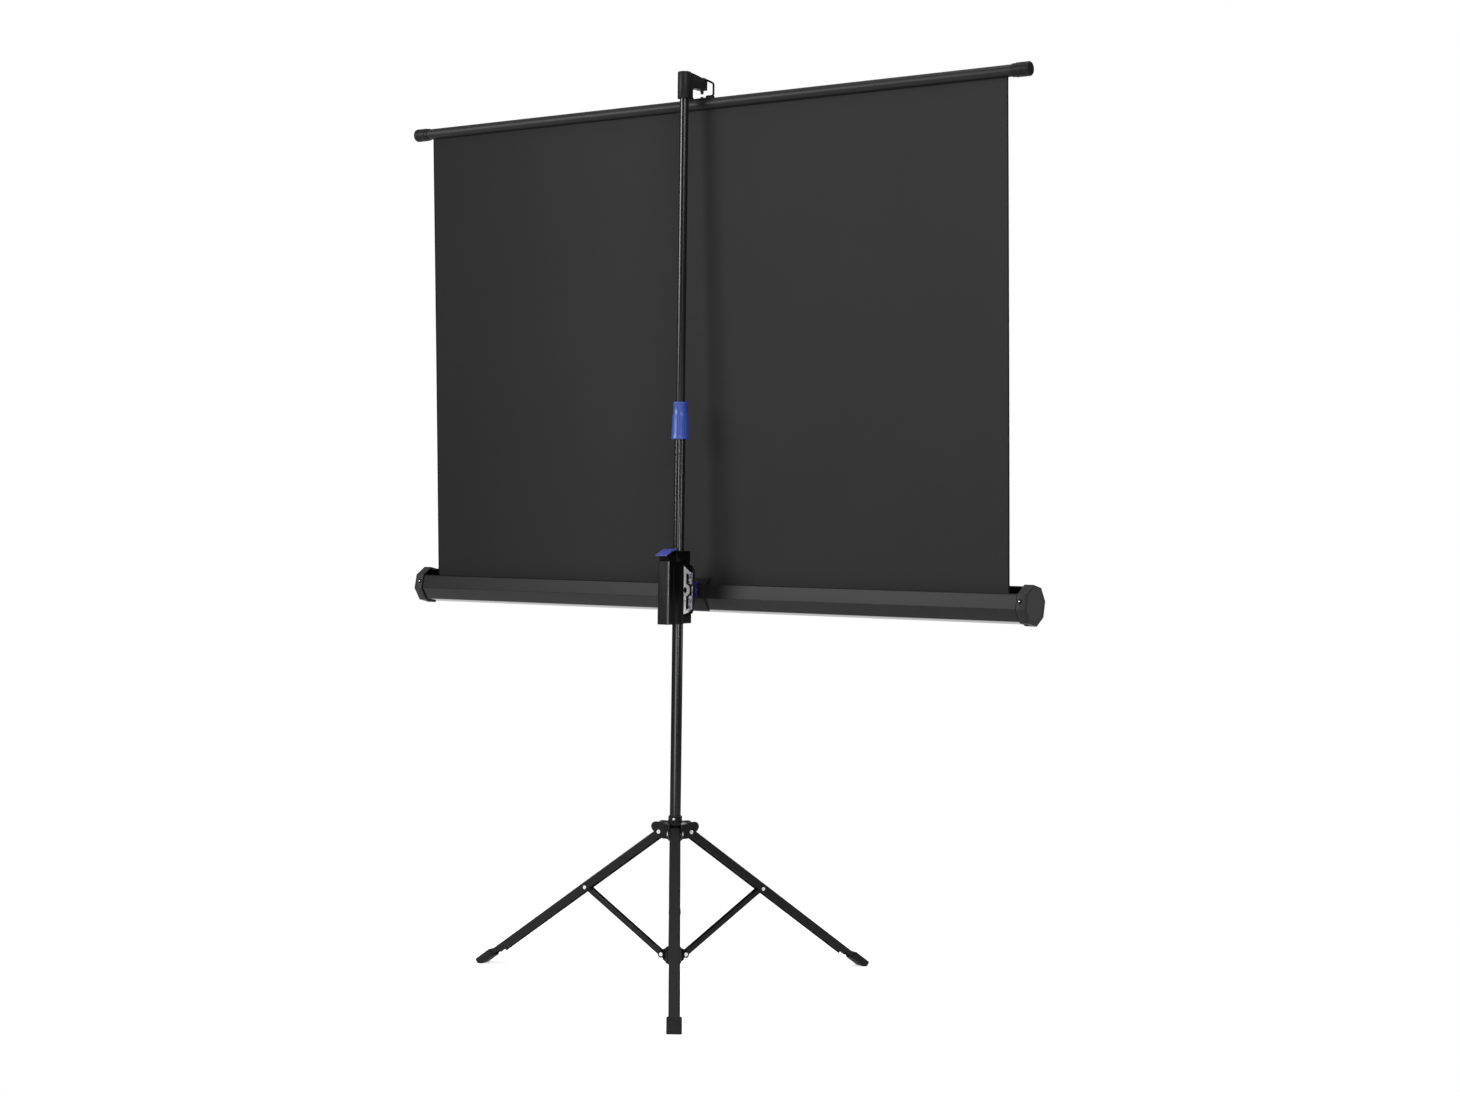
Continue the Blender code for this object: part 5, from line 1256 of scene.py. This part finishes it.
def studioFloor():
    made = lathe([(0, 0), (studio["floorRadius"], 0)], "floor", 96)
    look, tree, shader = newMaterial("floorWhite")
    shader.inputs["Base Color"].default_value = grey(studio["floorColour"])
    shader.inputs["Roughness"].default_value = studio["floorRoughness"]
    shader.inputs["Specular IOR Level"].default_value = 0
    shader.inputs["Emission Color"].default_value = grey(1)
    ray = nodeIn(tree, "ShaderNodeLightPath").outputs
    seen = mathIn(tree, "MAXIMUM", ray["Is Camera Ray"], ray["Is Glossy Ray"])
    seen = mathIn(tree, "MAXIMUM", seen, ray["Is Transmission Ray"])
    tree.links.new(mathIn(tree, "MULTIPLY", seen, studio["floorGlow"]), shader.inputs["Emission Strength"])
    away = nodeIn(tree, "ShaderNodeVectorMath", {0: coordinates(tree, "Object")}, operation="LENGTH")
    spread = remap(tree, away.outputs["Value"], *studio["floorFade"], 0.0, 1.0, "SMOOTHSTEP")
    clear = nodeIn(tree, "ShaderNodeBsdfTransparent").outputs[0]
    faded = nodeIn(tree, "ShaderNodeMixShader", {0: spread, 1: shader.outputs[0], 2: clear})
    tree.links.new(faded.outputs[0], tree.nodes["Material Output"].inputs["Surface"])
    made.data.materials.append(look)


def lamp(name, place, target, size, power, diffuse):
    light = bpy.data.lights.new(name, "AREA")
    light.shape = "RECTANGLE"
    light.size, light.size_y = size
    light.energy = power
    made = objectFrom(light, name)
    made.location = place
    made.rotation_euler = (Vector(target) - Vector(place)).to_track_quat("-Z", "Y").to_euler()
    made.visible_camera = False
    made.visible_diffuse = diffuse


studioWorld()
studioFloor()
for table, diffuse in ((lamps, True), (glossyLamps, False)):
    for name, values in table.items():
        lamp(name, *values, diffuse)

cameraLook = {
    "lens": 59.457,
    "sensor": 36,
    "clipEnd": 200,
    "place": (-2.9346, 3.9489, 0.9538),  # from the mast's foot
    "forward": (0.5792, -0.8151, -0.0120),
    "roll": 0.7395,
}


def photoCamera():
    data = bpy.data.cameras.new("photoCamera")
    data.lens = cameraLook["lens"]
    data.sensor_width = cameraLook["sensor"]
    data.clip_end = cameraLook["clipEnd"]
    made = objectFrom(data, "photoCamera")
    forward = Vector(cameraLook["forward"]).normalized()
    right = forward.cross(Vector((0, 0, 1))).normalized()
    up = right.cross(forward)
    angle = math.radians(cameraLook["roll"])
    rightTurned = right * math.cos(angle) + up * math.sin(angle)
    upTurned = up * math.cos(angle) - right * math.sin(angle)
    turned = Matrix((rightTurned, upTurned, -forward)).transposed().to_4x4()
    made.matrix_world = Matrix.Translation(Vector(cameraLook["place"]) + mastAxis) @ turned
    bpy.context.scene.camera = made


photoCamera()
bpy.context.scene.view_settings.view_transform = "Standard"
print("studio and camera set")
